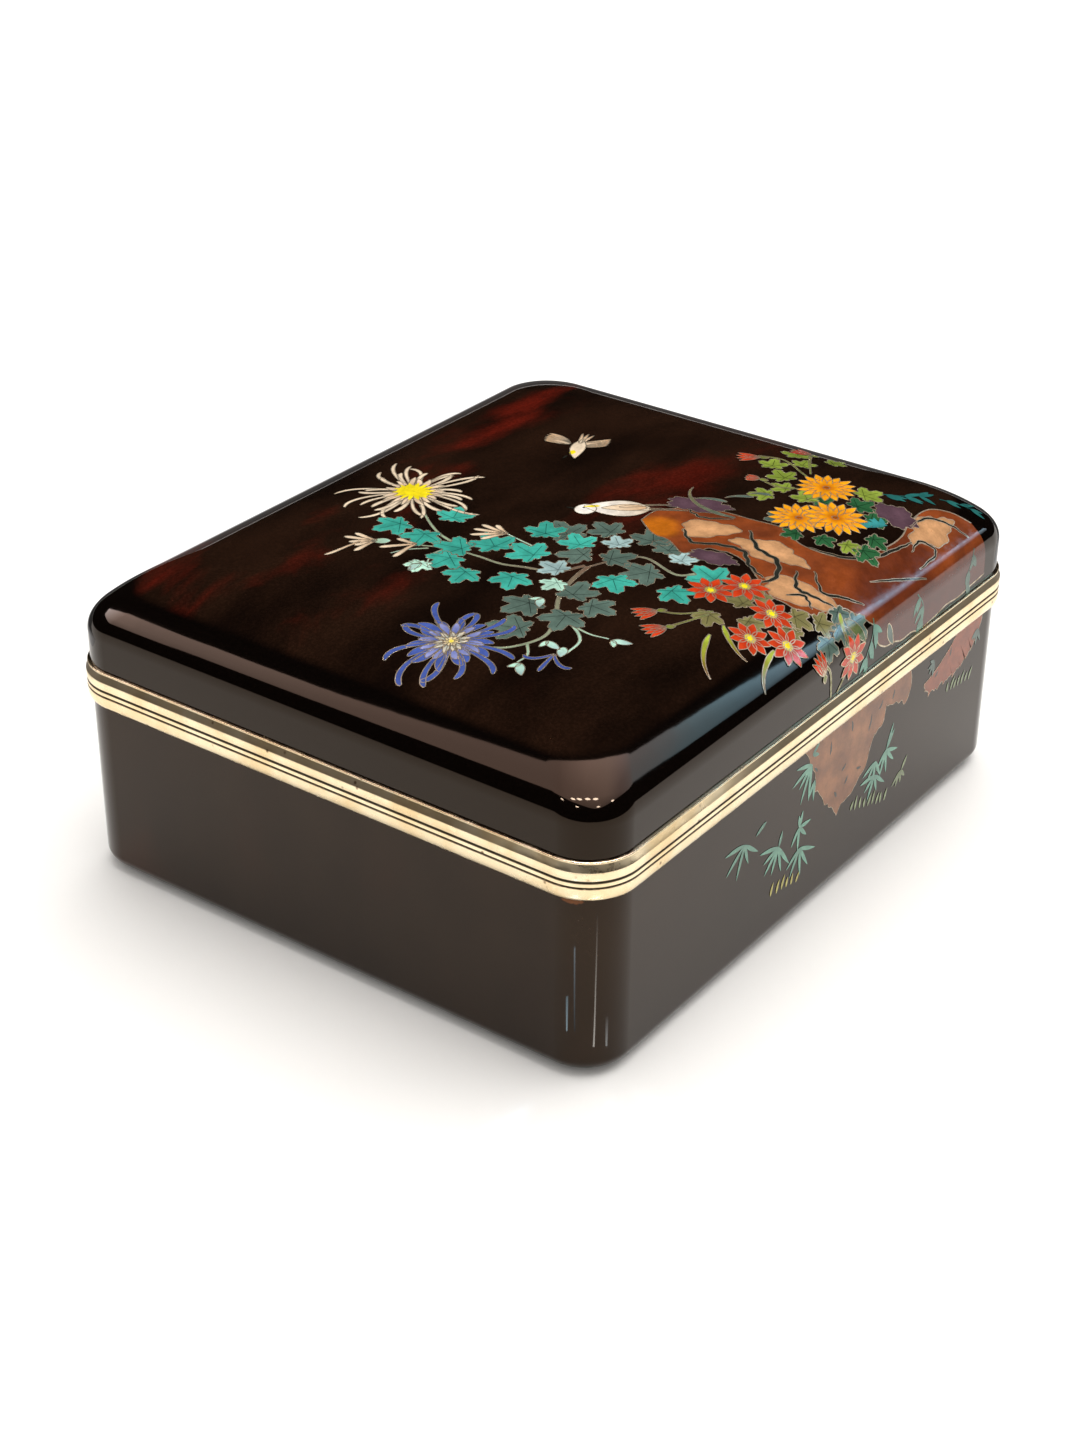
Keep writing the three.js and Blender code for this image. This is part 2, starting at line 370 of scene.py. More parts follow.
upper_rim_profile = np.array(
    [
        (WALL, SEAM),
        (-STANDOUT + SEAM_BEVEL, SEAM),
        (-STANDOUT + SEAM_BEVEL, SEAM + SEAM_LIP),
        (-STANDOUT + 0.3 * SEAM_BEVEL, SEAM + 0.3 * SEAM_BEVEL),
        (-STANDOUT, SEAM + SEAM_BEVEL),
        (-STANDOUT, bead_foot - COVE_HEIGHT),
        *zip(-STANDOUT + COVE_DEPTH * cove_share**0.9, bead_foot - COVE_HEIGHT * (1 - cove_share)),
        *zip(bead_inset, bead_foot + BEAD_RADIUS + BEAD_RADIUS * np.sin(bead_turn)),
        (0, UPPER_RIM_HEAD),
        (RIM_LEAF, UPPER_RIM_HEAD),
        (RIM_LEAF, SEAM + RIM_WEB),
        (WALL - RIM_LEAF, SEAM + RIM_WEB),
        (WALL - RIM_LEAF, SEAM + RIM_LAP),
        (WALL, SEAM + RIM_LAP),
    ]
)
for name, node, profile in (
    ("lower_rim", "base_rim", lower_rim_profile),
    ("upper_rim", "lid_rim", upper_rim_profile),
):
    rim = loft(name, profile[:, 0], profile[:, 1], CORNER_RADIUS - profile[:, 0], True, gilt)
    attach(rim, "root")
    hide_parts(node)


# Lid
# A raised copper shell, hollow underneath, with the same enamel. Its upright wall turns over a tight
# shoulder into a pillow that dies away towards the middle, and its contours open out at the corners.
LID_WALL_TOP = 70.0
SHOULDER_RADIUS = 9.0
SHOULDER_TURN = np.radians(47)
PILLOW_POWER = 6.5
TOP_CORNER_RADIUS = 26.0
CORNER_GROWTH = 42.0
CORNER_POWER = 1.6
SKIN = 0.16
LID_BROWN_ABOVE = 0.0804
SHOULDER_INSET = SHOULDER_RADIUS * (1 - np.cos(SHOULDER_TURN))
SHOULDER_TOP = LID_WALL_TOP + SHOULDER_RADIUS * np.sin(SHOULDER_TURN)
PILLOW_REACH = HALF_DEPTH - SHOULDER_INSET
PILLOW_SLOPE = 1 / np.tan(SHOULDER_TURN)


def lid_height(inset):
    """Height of the lid's face at an inset from its wall: an arc, then a slope falling off as a power. The
    face lies SKIN deep under the solid's, which leaves room for the picture."""
    tilt = np.arccos(np.clip(1 - inset / SHOULDER_RADIUS, -1, 1))
    arc = LID_WALL_TOP + SHOULDER_RADIUS * np.sin(np.minimum(tilt, SHOULDER_TURN))
    left = 1 - np.clip((inset - SHOULDER_INSET) / PILLOW_REACH, 0, 1)
    rise = PILLOW_SLOPE * PILLOW_REACH * (1 - left**PILLOW_POWER) / PILLOW_POWER
    sunk = SKIN * np.clip(inset / SHOULDER_INSET, 0, 1)
    return np.where(inset < SHOULDER_INSET, arc, SHOULDER_TOP + rise) - sunk


def lid_radius(inset):
    """Corner radius of the contour at an inset, growing as a power of it up to that of the top."""
    grown = np.clip(inset / CORNER_GROWTH, 0, 1) ** CORNER_POWER
    widest = 0.9 * (HALF_DEPTH - inset)
    return np.minimum(CORNER_RADIUS + (TOP_CORNER_RADIUS - CORNER_RADIUS) * grown, widest)


lid_enamel = dark_enamel("lid enamel", colour(35, 20, 12), colour(92, 22, 12), LID_BROWN_ABOVE)
shoulder_tilt = np.linspace(0, SHOULDER_TURN, 17)
pillow_inset = SHOULDER_INSET + 0.95 * PILLOW_REACH * np.linspace(0, 1, 71)[1:] ** 1.4
face_inset = np.concatenate([SHOULDER_RADIUS * (1 - np.cos(shoulder_tilt)), pillow_inset])
face_height = lid_height(face_inset)
face_left = 1 - (pillow_inset - SHOULDER_INSET) / PILLOW_REACH
pillow_tilt = np.pi / 2 - np.arctan(PILLOW_SLOPE * face_left ** (PILLOW_POWER - 1))
face_tilt = np.concatenate([shoulder_tilt, pillow_tilt])
under_inset = (face_inset + WALL * np.cos(face_tilt))[::-1]
under_height = (face_height - WALL * np.sin(face_tilt))[::-1]
under_radius = (lid_radius(face_inset) - WALL * np.cos(face_tilt))[::-1]
tongue_inset = [WALL, WALL - RIM_LEAF, WALL - RIM_LEAF, RIM_LEAF, RIM_LEAF, 0]
tongue_height = SEAM + np.array([RIM_LAP, RIM_LAP, RIM_WEB, RIM_WEB, UPPER_RIM_HEIGHT, UPPER_RIM_HEIGHT])
lid = loft(
    "lid",
    np.concatenate([under_inset, tongue_inset, face_inset]),
    np.concatenate([under_height, tongue_height, face_height]),
    np.concatenate([under_radius, CORNER_RADIUS - np.array(tongue_inset), lid_radius(face_inset)]),
    False,
    lid_enamel,
)
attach(lid, "root")
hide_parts("lid_shell")


# Picture: its ground and its wires
# The picture is drawn with flat wires bent to its outlines and fired full of coloured enamels, then
# ground flush. It is drawn here on a plane, in x and a run q that follows the lid from back to front and
# down its front wall. Its lowest cells stand ROOM proud of the dark enamel, and each layer over them
# LAYER higher.
FRONT_BEND = -60.0
ROOM = 0.05
LAYER = 0.012
WIRE_HALF_WIDTH = 0.13
STEM_WIRE_HALF_WIDTH = 0.09
VEIN_HALF_WIDTH = 0.1
RIM_GAP = 0.1
FRONT_TOP = LOWER_RIM_FOOT - RIM_GAP
WIRE_TINT = linear(190, 178, 150)
draw_random = np.random.default_rng(11)


def lid_inset(x, y):
    """How far places lie in from the lid's wall, by halving: a contour still holds a place when the
    distance to its rounded rectangle is below zero. The unit direction out of the contour comes too."""
    low = np.zeros_like(x)
    high = np.full_like(x, 0.95 * HALF_DEPTH)
    for halving in range(26):
        middle = (low + high) / 2
        radius = lid_radius(middle)
        beyond = np.stack([np.abs(x) - HALF_LENGTH, np.abs(y) - HALF_DEPTH]) + middle + radius
        corner = np.all(beyond > 0, axis=0)
        reach = np.where(corner, np.hypot(*beyond), np.max(beyond, axis=0)) - radius
        low = np.where(reach < 0, middle, low)
        high = np.where(reach < 0, high, middle)
    along = np.where(corner, beyond, beyond == np.max(beyond, axis=0))
    along = along / np.linalg.norm(along, axis=0)
    return low, along * np.stack([np.sign(x), np.sign(y)])


def lid_normal(inset, along):
    """Outward normal of the lid at an inset: it leans out by the cosine of the face's tilt, less at the
    corners, where the contours spread as their radius grows."""
    shoulder = np.arccos(np.clip(1 - inset / SHOULDER_RADIUS, -1, 1))
    left = 1 - np.clip((inset - SHOULDER_INSET) / PILLOW_REACH, 0, 1)
    pillow = np.pi / 2 - np.arctan(PILLOW_SLOPE * left ** (PILLOW_POWER - 1))
    tilt = np.where(inset < SHOULDER_INSET, shoulder, pillow)
    growth = CORNER_POWER * (TOP_CORNER_RADIUS - CORNER_RADIUS) / CORNER_GROWTH
    growth = growth * np.clip(inset / CORNER_GROWTH, 0, 1) ** (CORNER_POWER - 1)
    spread = (1 + growth) * np.sum(np.abs(along), axis=0) - growth
    normal = np.stack([*(along * np.cos(tilt) / spread), np.sin(tilt)], axis=1)
    return normal / np.linalg.norm(normal, axis=1, keepdims=True)


section_y = np.linspace(FRONT_BEND, -HALF_DEPTH, 3000)
section_z = lid_height(HALF_DEPTH + section_y)
section_run = np.concatenate([[0], np.cumsum(np.hypot(np.diff(section_y), np.diff(section_z)))])
WALL_RUN = FRONT_BEND - section_run[-1]
LID_END = WALL_RUN - (LID_WALL_TOP - UPPER_RIM_HEAD) + RIM_GAP


def lie_on_lid(plane, lift):
    """Bends (x, q) over the lid: q is y as far as the front bend, then the run along the section, then
    the wall."""
    x, q = plane.T
    q = np.maximum(q, LID_END)
    y = np.where(q > FRONT_BEND, q, np.interp(FRONT_BEND - q, section_run, section_y))
    inset, along = lid_inset(x, y)
    below = np.maximum(WALL_RUN - q, 0)
    z = lid_height(inset) - below
    normal = lid_normal(inset, along)
    normal[below > 0] = [0, -1, 0]
    return np.stack([x, y, z], axis=1) + normal * lift[:, None], normal


def lie_on_front(plane, lift):
    """Stands (x, z) against the tray's front wall."""
    normal = np.zeros((len(plane), 3))
    normal[:, 1] = -1
    z = np.clip(plane[:, 1], FOOT_RISE, FRONT_TOP)
    return np.stack([plane[:, 0], -HALF_DEPTH - lift, z], axis=1), normal


def picture_enamel():
    """Glossy enamels in the colours drawn, each a little cloudy and grained, with a faintly wavy face."""
    shader = Shader("picture enamel")
    drawn = shader.node("ShaderNodeAttribute", "Color", {"attribute_name": "tint"})
    where = shader.place()
    cloud = shader.ramp(shader.noise(where, 260.0, 4.0), 0.3, 0.7, 0.72, 1.0)
    grain = shader.ramp(shader.noise(where, 1500.0, 2.0), 0.3, 0.7, 0.93, 1.06)
    shade = shader.math("MULTIPLY", cloud, grain)
    mottled = shader.scaled(drawn, shade)
    rough = shader.ramp(shader.noise(where, 500.0, 2.0), 0.3, 0.7, 0.07, 0.16)
    wave = shader.bump(cloud, 0.05, 0.0002)
    return shader.finish(Base_Color=mottled, Roughness=rough, IOR=1.44, Normal=wave)


def wire_metal():
    """Thin silvery gilt wire, rubbed bright in places and dull in others."""
    shader = Shader("wire")
    where = shader.place()
    worn = shader.ramp(shader.noise(where, 700.0, 3.0), 0.35, 0.7)
    tone = shader.mix(worn, colour(196, 184, 160), colour(150, 134, 108))
    rough = shader.ramp(worn, 0.0, 1.0, 0.32, 0.55)
    relief = shader.bump(worn, 0.1, 0.0001)
    return shader.finish(Base_Color=tone, Metallic=0.8, Roughness=rough, Normal=relief)


cell_enamel = picture_enamel()
wire = wire_metal()


class Drawing:
    """Cells and wires drawn on the plane as sheets of points, then laid on the box as one thin skin."""

    def __init__(self, name, lie=lie_on_lid):
        self.name = name
        self.lie = lie
        self.sheets = []

    def sheet(self, points, tint, layer, is_wire=False):
        """Takes one sheet: its grid of points on the plane, and one tint or a tint for each point."""
        self.sheets.append((points, np.broadcast_to(tint, (*points.shape[:2], 3)), layer, is_wire))

    def lay(self):
        """Joins the sheets in one mesh, bends it on to the box, and sets each point's tint and normal."""
        count = 0
        plane, tints, lifts, faces, slots = [], [], [], [], []
        for points, tint, layer, is_wire in self.sheets:
            rows, columns = points.shape[:2]
            grid = count + np.arange(rows * columns).reshape(rows, columns)
            corners = [grid[:-1, :-1], grid[1:, :-1], grid[1:, 1:], grid[:-1, 1:]]
            quads = np.stack(corners, axis=2).reshape(-1, 4)
            down = np.diff(points, axis=0)[:, :-1]
            over = np.diff(points, axis=1)[:-1]
            turn = np.sum(down[..., 0] * over[..., 1] - down[..., 1] * over[..., 0])
            faces.append(quads if turn > 0 else quads[:, ::-1])
            slots.append(np.full(len(quads), int(is_wire)))
            plane.append(points.reshape(-1, 2))
            tints.append(tint.reshape(-1, 3))
            lifts.append(np.full(rows * columns, ROOM + LAYER * layer))
            count += rows * columns
        places, normals = self.lie(np.concatenate(plane), np.concatenate(lifts))
        mesh = bpy.data.meshes.new(self.name)
        mesh.from_pydata((places * MM).tolist(), [], np.concatenate(faces).tolist())
        mesh.materials.append(cell_enamel)
        mesh.materials.append(wire)
        mesh.polygons.foreach_set("material_index", np.concatenate(slots))
        attribute = mesh.color_attributes.new("tint", "FLOAT_COLOR", "POINT")
        tint = np.concatenate(tints)
        attribute.data.foreach_set("color", np.column_stack([tint, np.ones(count)]).ravel())
        mesh.shade_smooth()
        mesh.normals_split_custom_set_from_vertices(normals.tolist())
        piece = bpy.data.objects.new(self.name, mesh)
        bpy.context.collection.objects.link(piece)
        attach(piece, "root")

    def ribbon(self, path, half_width, tint, layer, is_wire=False, across=3):
        """A strip along a path: the path plus half its width, both ways, along the path's own normal."""
        along = np.gradient(path, axis=0)
        along = along / np.maximum(np.linalg.norm(along, axis=1, keepdims=True), 1e-9)
        sideways = np.stack([-along[:, 1], along[:, 0]], axis=1)
        offsets = np.linspace(-1, 1, across)[None, :, None]
        half_width = np.broadcast_to(half_width, len(path))
        points = path[:, None] + offsets * (sideways * half_width[:, None])[:, None]
        self.sheet(points, tint, layer, is_wire)
        return points

    def outline(self, points, layer, half_width=WIRE_HALF_WIDTH):
        """A wire round a strip: up one long side, and back down the other."""
        edge = np.concatenate([points[:, 0], points[::-1, -1], points[:1, 0]])
        self.ribbon(edge, half_width, WIRE_TINT, layer, True, 2)

    def petal(
        self, start, heading, length, width, layer, tints, bend=0.0, hook=0.0, shape="pointed", wired=True
    ):
        """A petal or leaf: its path turns evenly by bend and sharply by hook near its end. Its width
        follows its shape, and its colour runs from the first tint at the root to the second."""
        steps = max(9, int(length * 1.6))
        s = np.linspace(0, 1, steps)
        turn = heading + bend * s + hook * s**4
        step = length / (steps - 1) * pointing(turn)
        path = np.asarray(start, float) + np.cumsum(step, axis=0) - step[0]
        half = {
            "pointed": np.sin(np.pi * np.clip(s, 0.02, 0.985) ** 0.8) ** 0.75,
            "spoon": (0.45 + 0.55 * s) * np.sqrt(1 - np.clip(s, 0, 0.995) ** 10),
            "blade": (1 - np.clip(s, 0, 0.985)) ** 0.55 * np.clip(0.35 + 3 * s, 0, 1),
            "round": np.sin(np.pi * np.clip(s, 0.05, 0.975) ** 1.35) ** 0.6,
        }[shape]
        tint = tints[0] + (tints[1] - tints[0]) * s[:, None, None]
        points = self.ribbon(path, width / 2 * half, tint, layer)
        if wired:
            self.outline(points, layer + 0.5)

    def blob(
        self, centre, size, tints, layer, lobes=5, depth=0.15, stretch=1.0, heading=0.0, teeth=0.0,
        wired=True,
    ):
        """A rounded cell with a lobed edge: a circle whose radius swells and sinks as a cosine."""
        turn = np.linspace(0, 2 * np.pi, 61)
        edge = size * (1 + depth * np.cos(lobes * turn) + teeth * np.cos((2 * lobes + 3) * turn + 1))
        ring = np.stack([stretch * edge * np.cos(turn), edge * np.sin(turn)], axis=1)
        cos, sin = np.cos(heading), np.sin(heading)
        ring = ring @ np.array([[cos, sin], [-sin, cos]])
        share = np.linspace(0.02, 1, 4 + 3 * int(size))
        tint = tints[0] + (tints[1] - tints[0]) * share[:, None, None]
        self.sheet(np.asarray(centre) + share[:, None, None] * ring, tint, layer)
        if wired:
            self.ribbon(np.asarray(centre) + ring, WIRE_HALF_WIDTH, WIRE_TINT, layer + 0.5, True, 2)

    def leaf(self, centre, heading, size, tint, layer):
        """A lobed leaf: its radius is longest at the tip, short at the stalk, and cut in between lobes."""
        turn = np.linspace(-np.pi, np.pi, 91)
        lobe = 0.5 + 0.5 * np.cos(6 * turn)
        edge = size * (0.33 + 0.75 * (0.5 + 0.5 * np.cos(turn)) ** 0.85)
        edge = edge * (0.54 + 0.46 * lobe**0.45) * (1 + 0.045 * np.cos(24 * turn))
        ring = pointing(turn + heading) * edge[:, None]
        share = np.array([0.02, 0.4, 0.75, 1.0])[:, None, None]
        middle = np.asarray(centre, float)
        shade = np.array([0.86, 0.95, 1.02, 1.1])[:, None, None]
        self.sheet(middle + share * ring, tint * shade, layer)
        self.ribbon(middle + ring, WIRE_HALF_WIDTH, WIRE_TINT, layer + 0.5, True, 2)
        for side in (-2, -1, 0, 1, 2):
            way = heading + side * np.pi / 3
            reach = size * (0.85, 0.72, 0.5)[abs(side)]
            run = np.linspace(0, 1, 6)[:, None]
            vein = middle + run * reach * pointing(way)
            self.ribbon(vein, VEIN_HALF_WIDTH, tint * 0.3, layer + 0.55, False, 2)

    def stem(self, knots, width, tints, layer):
        """A branch or stalk: a smooth strip through a few knots, wired down both sides."""
        path = smooth_path(knots, 12 * len(knots))
        s = np.linspace(0, 1, len(path))
        tint = tints[0] + (tints[1] - tints[0]) * s[:, None, None]
        points = self.ribbon(path, width / 2 * (1 - 0.45 * s), tint, layer)
        self.outline(points, layer + 0.5, STEM_WIRE_HALF_WIDTH)


def smooth_path(knots, count):
    """A smooth path through knots: between two of them runs the cubic whose slope at each is half the way
    between its neighbours."""
    knots = np.asarray(knots, float)
    padded = np.vstack([2 * knots[0] - knots[1], knots, 2 * knots[-1] - knots[-2]])
    at = np.linspace(0, len(knots) - 1, count)
    cell = np.minimum(at.astype(int), len(knots) - 2)
    t = (at - cell)[:, None]
    p0, p1, p2, p3 = (padded[cell + k] for k in range(4))
    return p1 + 0.5 * t * (p2 - p0 + t * (2 * p0 - 5 * p1 + 4 * p2 - p3 + t * (3 * (p1 - p2) + p3 - p0)))


# Branches and leaves
# Slender branches in pale green run to brown at their older end, with lobed leaves in four tones of fired
# enamel. Every branch and leaf has its own wire, and the veins are dark enamel.
STALK = linear(150, 172, 140)
BARK = linear(116, 88, 72)
MINT = linear(180, 222, 200)
TEAL = linear(62, 168, 150)
GREY_GREEN = linear(88, 108, 98)
PALE_BLUE = linear(160, 188, 186)

branches = Drawing("branches")
for layer, width, tints, knots in (
    (0.0, 1.1, (STALK, BARK), [(-2, -57), (-5, -48), (-10, -43), (-7, -32), (-11, -27), (-20, -23)]),
    (
        0.2,
        1.3,
        (BARK, STALK),
        [(-20, -23), (-28, -24), (-38, -27), (-48, -33), (-57, -36), (-66, -32), (-70, -24)],
    ),
    (
        0.4,
        1.1,
        (BARK, STALK),
        [(-20, -22), (-27, -18), (-30, -10), (-32, -4), (-32, 3), (-33, 12), (-37, 21)],
    ),
    (0.6, 1.0, (STALK, STALK), [(-30, 10), (-28, 18), (-24, 25), (-17, 34)]),
    (0.8, 0.8, (STALK, MINT), [(-21, -10), (-19, -5), (-18, 0), (-17, 5)]),
    (1.0, 1.1, (STALK, MINT), [(-46, -31), (-48, -38), (-53, -44), (-60, -45)]),
    (1.2, 0.8, (STALK, MINT), [(-48, -38), (-49, -44), (-48, -49)]),
    (1.4, 0.8, (STALK, MINT), [(-62, -35), (-66, -38), (-70, -38)]),
    (1.4, 0.7, (STALK, MINT), [(-33, 12), (-38, 13), (-43, 11)]),
    (1.6, 0.7, (STALK, MINT), [(-36, 16), (-40, 20), (-44, 22)]),
):
    branches.stem(knots, width, tints, layer)
branches.lay()

leaves = Drawing("leaves")
layer = 2.0
for tint, places in (
    (GREY_GREEN, [(0, -16, 1.2), (2, -28, 0.6), (-15, -18, 2.2), (-13, -25, -0.6)]),
    (GREY_GREEN, [(-13, -37, 2.6), (0, -34, 0.2), (-45, -23, 2.8), (-37, -36, -1.6)]),
    (GREY_GREEN, [(-45, -34, 3.4), (-57, -29, 1.9), (-8, -8, 1.0), (-35, -29, 0.2)]),
    (PALE_BLUE, [(-5, -22, 0.8), (-3, -40, 0.3), (-26, -18, 1.4)]),
    (TEAL, [(-29, 31, 2.7), (-18, 22, 0.4), (-30, 22, 3.4), (-31, 9, 1.8), (-25, 3, 0.9)]),
    (TEAL, [(-41, 0, 3.3), (-36, -11, 3.6), (-23, -8, 1.3), (-11, -3, 0.6), (-11, -14, 0.9)]),
    (TEAL, [(-22, -32, 3.9), (-18, -47, 4.3), (-6, -52, 1.2), (-37, 8, 3.0)]),
    (MINT, [(-32, -22, 3.0), (-44, 12, 3.4)]),
):
    share = 0.75 if tint is MINT or tint is PALE_BLUE else 1.0
    for x, q, heading in places:
        size = draw_random.uniform(6.5, 8.2) * share
        leaves.leaf((x, q), heading, size, tint * draw_random.uniform(0.85, 1.12), layer)
        layer += 0.08
for x, q, heading in ((-44, 12, 2.9), (-70, -39, 3.6), (-48, -50, 4.9), (-41, -24, 3.4), (-58, -38, 4.2)):
    leaves.petal((x, q), heading, 5.0, 2.4, layer, (MINT, PALE_BLUE), 0.4)
    leaves.petal((x, q), heading - 0.9, 3.4, 1.6, layer, (MINT, MINT), -0.3)
    layer += 0.08
leaves.lay()


# Spider chrysanthemums and their buds
# One flower is cream with a yellow heart, the other blue with a pale heart. Their long petals turn over
# at the ends.
CREAM = linear(240, 218, 188)
TAN = linear(205, 165, 125)
YELLOW = linear(252, 228, 30)
BLUE = linear(66, 86, 156)
PALE_VIOLET = linear(150, 155, 205)
WHITE_HEART = (-11, 41)
BLUE_HEART = (-71, -19)


def spider(drawing, centre, rings, layer):
    """Rings of petals from the outermost in: number, start radius, longest and shortest, width, tints,
    hook, shape."""
    for count, start, longest, shortest, width, tints, hook, shape in rings:
        turns = np.arange(count) * 2 * np.pi / count + draw_random.uniform(0, 1)
        for turn in turns + draw_random.uniform(-0.09, 0.09, count):
            root = np.asarray(centre) + start * pointing(turn)
            length = draw_random.uniform(shortest, longest)
            bend = draw_random.uniform(-0.35, 0.35)
            curl = hook * draw_random.uniform(0.4, 1.0) * np.sign(bend)
            drawing.petal(root, turn, length, width, layer, tints, bend, curl, shape)
            layer += 0.03
    return layer


white_flower = Drawing("white_flower")
layer = spider(
    white_flower,
    WHITE_HEART,
    (
        (17, 3.0, 22.0, 12.0, 1.3, (CREAM * 0.8, CREAM), 1.3, "spoon"),
        (14, 3.0, 13.0, 9.0, 1.6, (CREAM * 0.8, CREAM), 0.8, "spoon"),
        (16, 2.5, 7.5, 5.5, 2.1, (TAN, CREAM), 0.3, "pointed"),
    ),
    3.0,
)
white_flower.blob(WHITE_HEART, 4.6, (YELLOW * 0.8, YELLOW), layer, 12, 0.08)
for turn in np.arange(14) * 2 * np.pi / 14:
    root = np.array(WHITE_HEART) + 1.4 * pointing(turn)
    white_flower.petal(root, turn, 4.4, 1.3, layer + 0.6, (YELLOW * 0.9, YELLOW), wired=False)
    layer += 0.02
layer += 0.8
for centre, heading, count in (((-40.5, 29.5), 2.3, 5), ((-17, 5), 1.9, 5), ((-36, 20), 2.4, 3)):
    for spread in np.linspace(-0.55, 0.55, count):
        length = draw_random.uniform(5.5, 10.0)
        toward = heading + spread
        white_flower.petal(centre, toward, length, 1.7, layer, (TAN, CREAM), spread, -0.8 * spread, "spoon")
        layer += 0.03
white_flower.petal((-43.5, 32.5), 2.85, 11.5, 1.2, layer, (TAN, CREAM), 0.35, -0.5, "spoon")
white_flower.petal((-38.5, 26.5), 2.2, 5.0, 3.0, layer + 0.1, (MINT, STALK), 0.1)
white_flower.lay()

blue_flower = Drawing("blue_flower")
layer = spider(
    blue_flower,
    BLUE_HEART,
    (
        (14, 4.0, 16.0, 10.5, 1.8, (BLUE, BLUE * 1.1), 1.5, "spoon"),
        (14, 3.0, 9.5, 7.0, 2.3, (BLUE * 0.85, BLUE * 1.2), 0.6, "round"),
        (13, 2.0, 7.0, 5.0, 2.0, (BLUE * 1.1, PALE_VIOLET), 0.3, "round"),
        (11, 0.8, 4.6, 3.4, 1.6, (PALE_BLUE, CREAM), 0.2, "pointed"),
    ),
    3.0,
)
blue_flower.blob(BLUE_HEART, 1.9, (YELLOW * 0.8, CREAM), layer + 0.2, 9, 0.12)
for spread in (-0.5, 0.0, 0.5):
    blue_flower.petal((-62, -43), 3.3 + spread, 8.5, 1.4, layer, (BLUE, BLUE), spread, 2.6 * spread, "spoon")
    layer += 0.03
blue_flower.petal((-58, -43), 3.5, 4.6, 2.6, layer, (MINT, PALE_BLUE), 0.1)
blue_flower.lay()


# Rock
# A ledge of rock comes in from the front edge, in brown and rust enamel shaded into sand where it catches
# the light, broken by dark clefts, and it goes on over the shoulder and down the front wall.
BROWN = linear(108, 52, 28)
RUST = linear(150, 72, 30)
OCHRE = linear(190, 104, 20)
# The next two colours are painted shade: the rock darker near the front edge of the top, and darker and
# redder over the edge.
PAINTED_SHADE_BROWN = linear(92, 40, 22)
PAINTED_SHADE_RED_BROWN = linear(78, 34, 22)
SAND = linear(214, 160, 112)
MAUVE = linear(88, 64, 74)
INK = linear(40, 42, 36)
SAND_PATCHES = (
    ((17, -35), 5.0, -1.0, 1.5),
    ((17, -54), 4.9, -1.45, 2.0),
    ((7, -69.5), 5.0, -1.05, 2.0),
    ((65, -76.5), 4.5, -0.1, 2.0),
)


def ledge(drawing, upper, lower, layer, colour_of, columns=240, rows=70, half_wire=0.2):
    """The sheet ruled between two edges, smoothed through their knots and roughened with a sum of short
    waves."""
    top = smooth_path(upper, columns)
    bottom = smooth_path(lower, columns)
    run = np.linspace(0, 1, columns)
    crumble = 0.45 * np.sin(61 * run + 1) + 0.3 * np.sin(103 * run) + 0.22 * np.sin(167 * run + 2)
    share = np.linspace(0, 1, rows)[:, None, None]
    free = np.clip(12 * run * (1 - run), 0, 1)[:, None]
    bottom = bottom + np.stack([0.5 * crumble, crumble], axis=1) * free
    points = (1 - share) * top + share * bottom
    drawing.sheet(points, colour_of(points), layer)
    drawing.outline(np.transpose(points[[0, -1]], (1, 0, 2)), layer + 0.5, half_wire)


def glow_at(points, centre, size, heading=0.0, stretch=1.0):
    """How strongly a round or long patch shows: one inside it, and falling over its edge as an S-shaped
    curve. The reach is capped well beyond the edge, where nothing of the patch is left."""
    away = points - np.asarray(centre, float)
    along = away[..., 0] * np.cos(heading) + away[..., 1] * np.sin(heading)
    aside = away[..., 1] * np.cos(heading) - away[..., 0] * np.sin(heading)
    reach = np.minimum((along / (size * stretch)) ** 2 + (aside / size) ** 2, 50.0)
    return 1 / (1 + np.exp(6 * (reach - 0.7)))


def blend(base, over, share):
    """One colour over another: the base, plus a share of the way to the other."""
    return base + (over - base) * np.clip(share, 0, 1)[..., None]


def rock_colour(points):
    """Brown, run through with rust by slow waves, with sandy patches, painted shade near the front edge of
    the top, and painted shade, darker and redder, on the side over the edge."""
    x, q = points[..., 0], points[..., 1]
    wave = 0.5 + 0.5 * np.sin(0.21 * x + 0.13 * q) * np.cos(0.09 * x - 0.23 * q)
    tint = blend(np.broadcast_to(BROWN, (*points.shape[:2], 3)), RUST, 0.75 * wave)
    tint = blend(tint, OCHRE, glow_at(points, (10, -24), 7.0))
    for centre, size, heading, stretch in SAND_PATCHES:
        tint = blend(tint, RUST * 1.25, 0.6 * glow_at(points, centre, 1.25 * size, heading, stretch))
    # Painted shade: darker near the front edge of the top, then darker and redder where the rock goes over
    # the edge and down the wall.
    tint = blend(tint, PAINTED_SHADE_BROWN, 0.8 * glow_at(points, (40, -80), 9.0, 0.0, 2.6))
    return blend(tint, PAINTED_SHADE_RED_BROWN, 0.9 * np.clip((-86 - q) / 3, 0, 1))


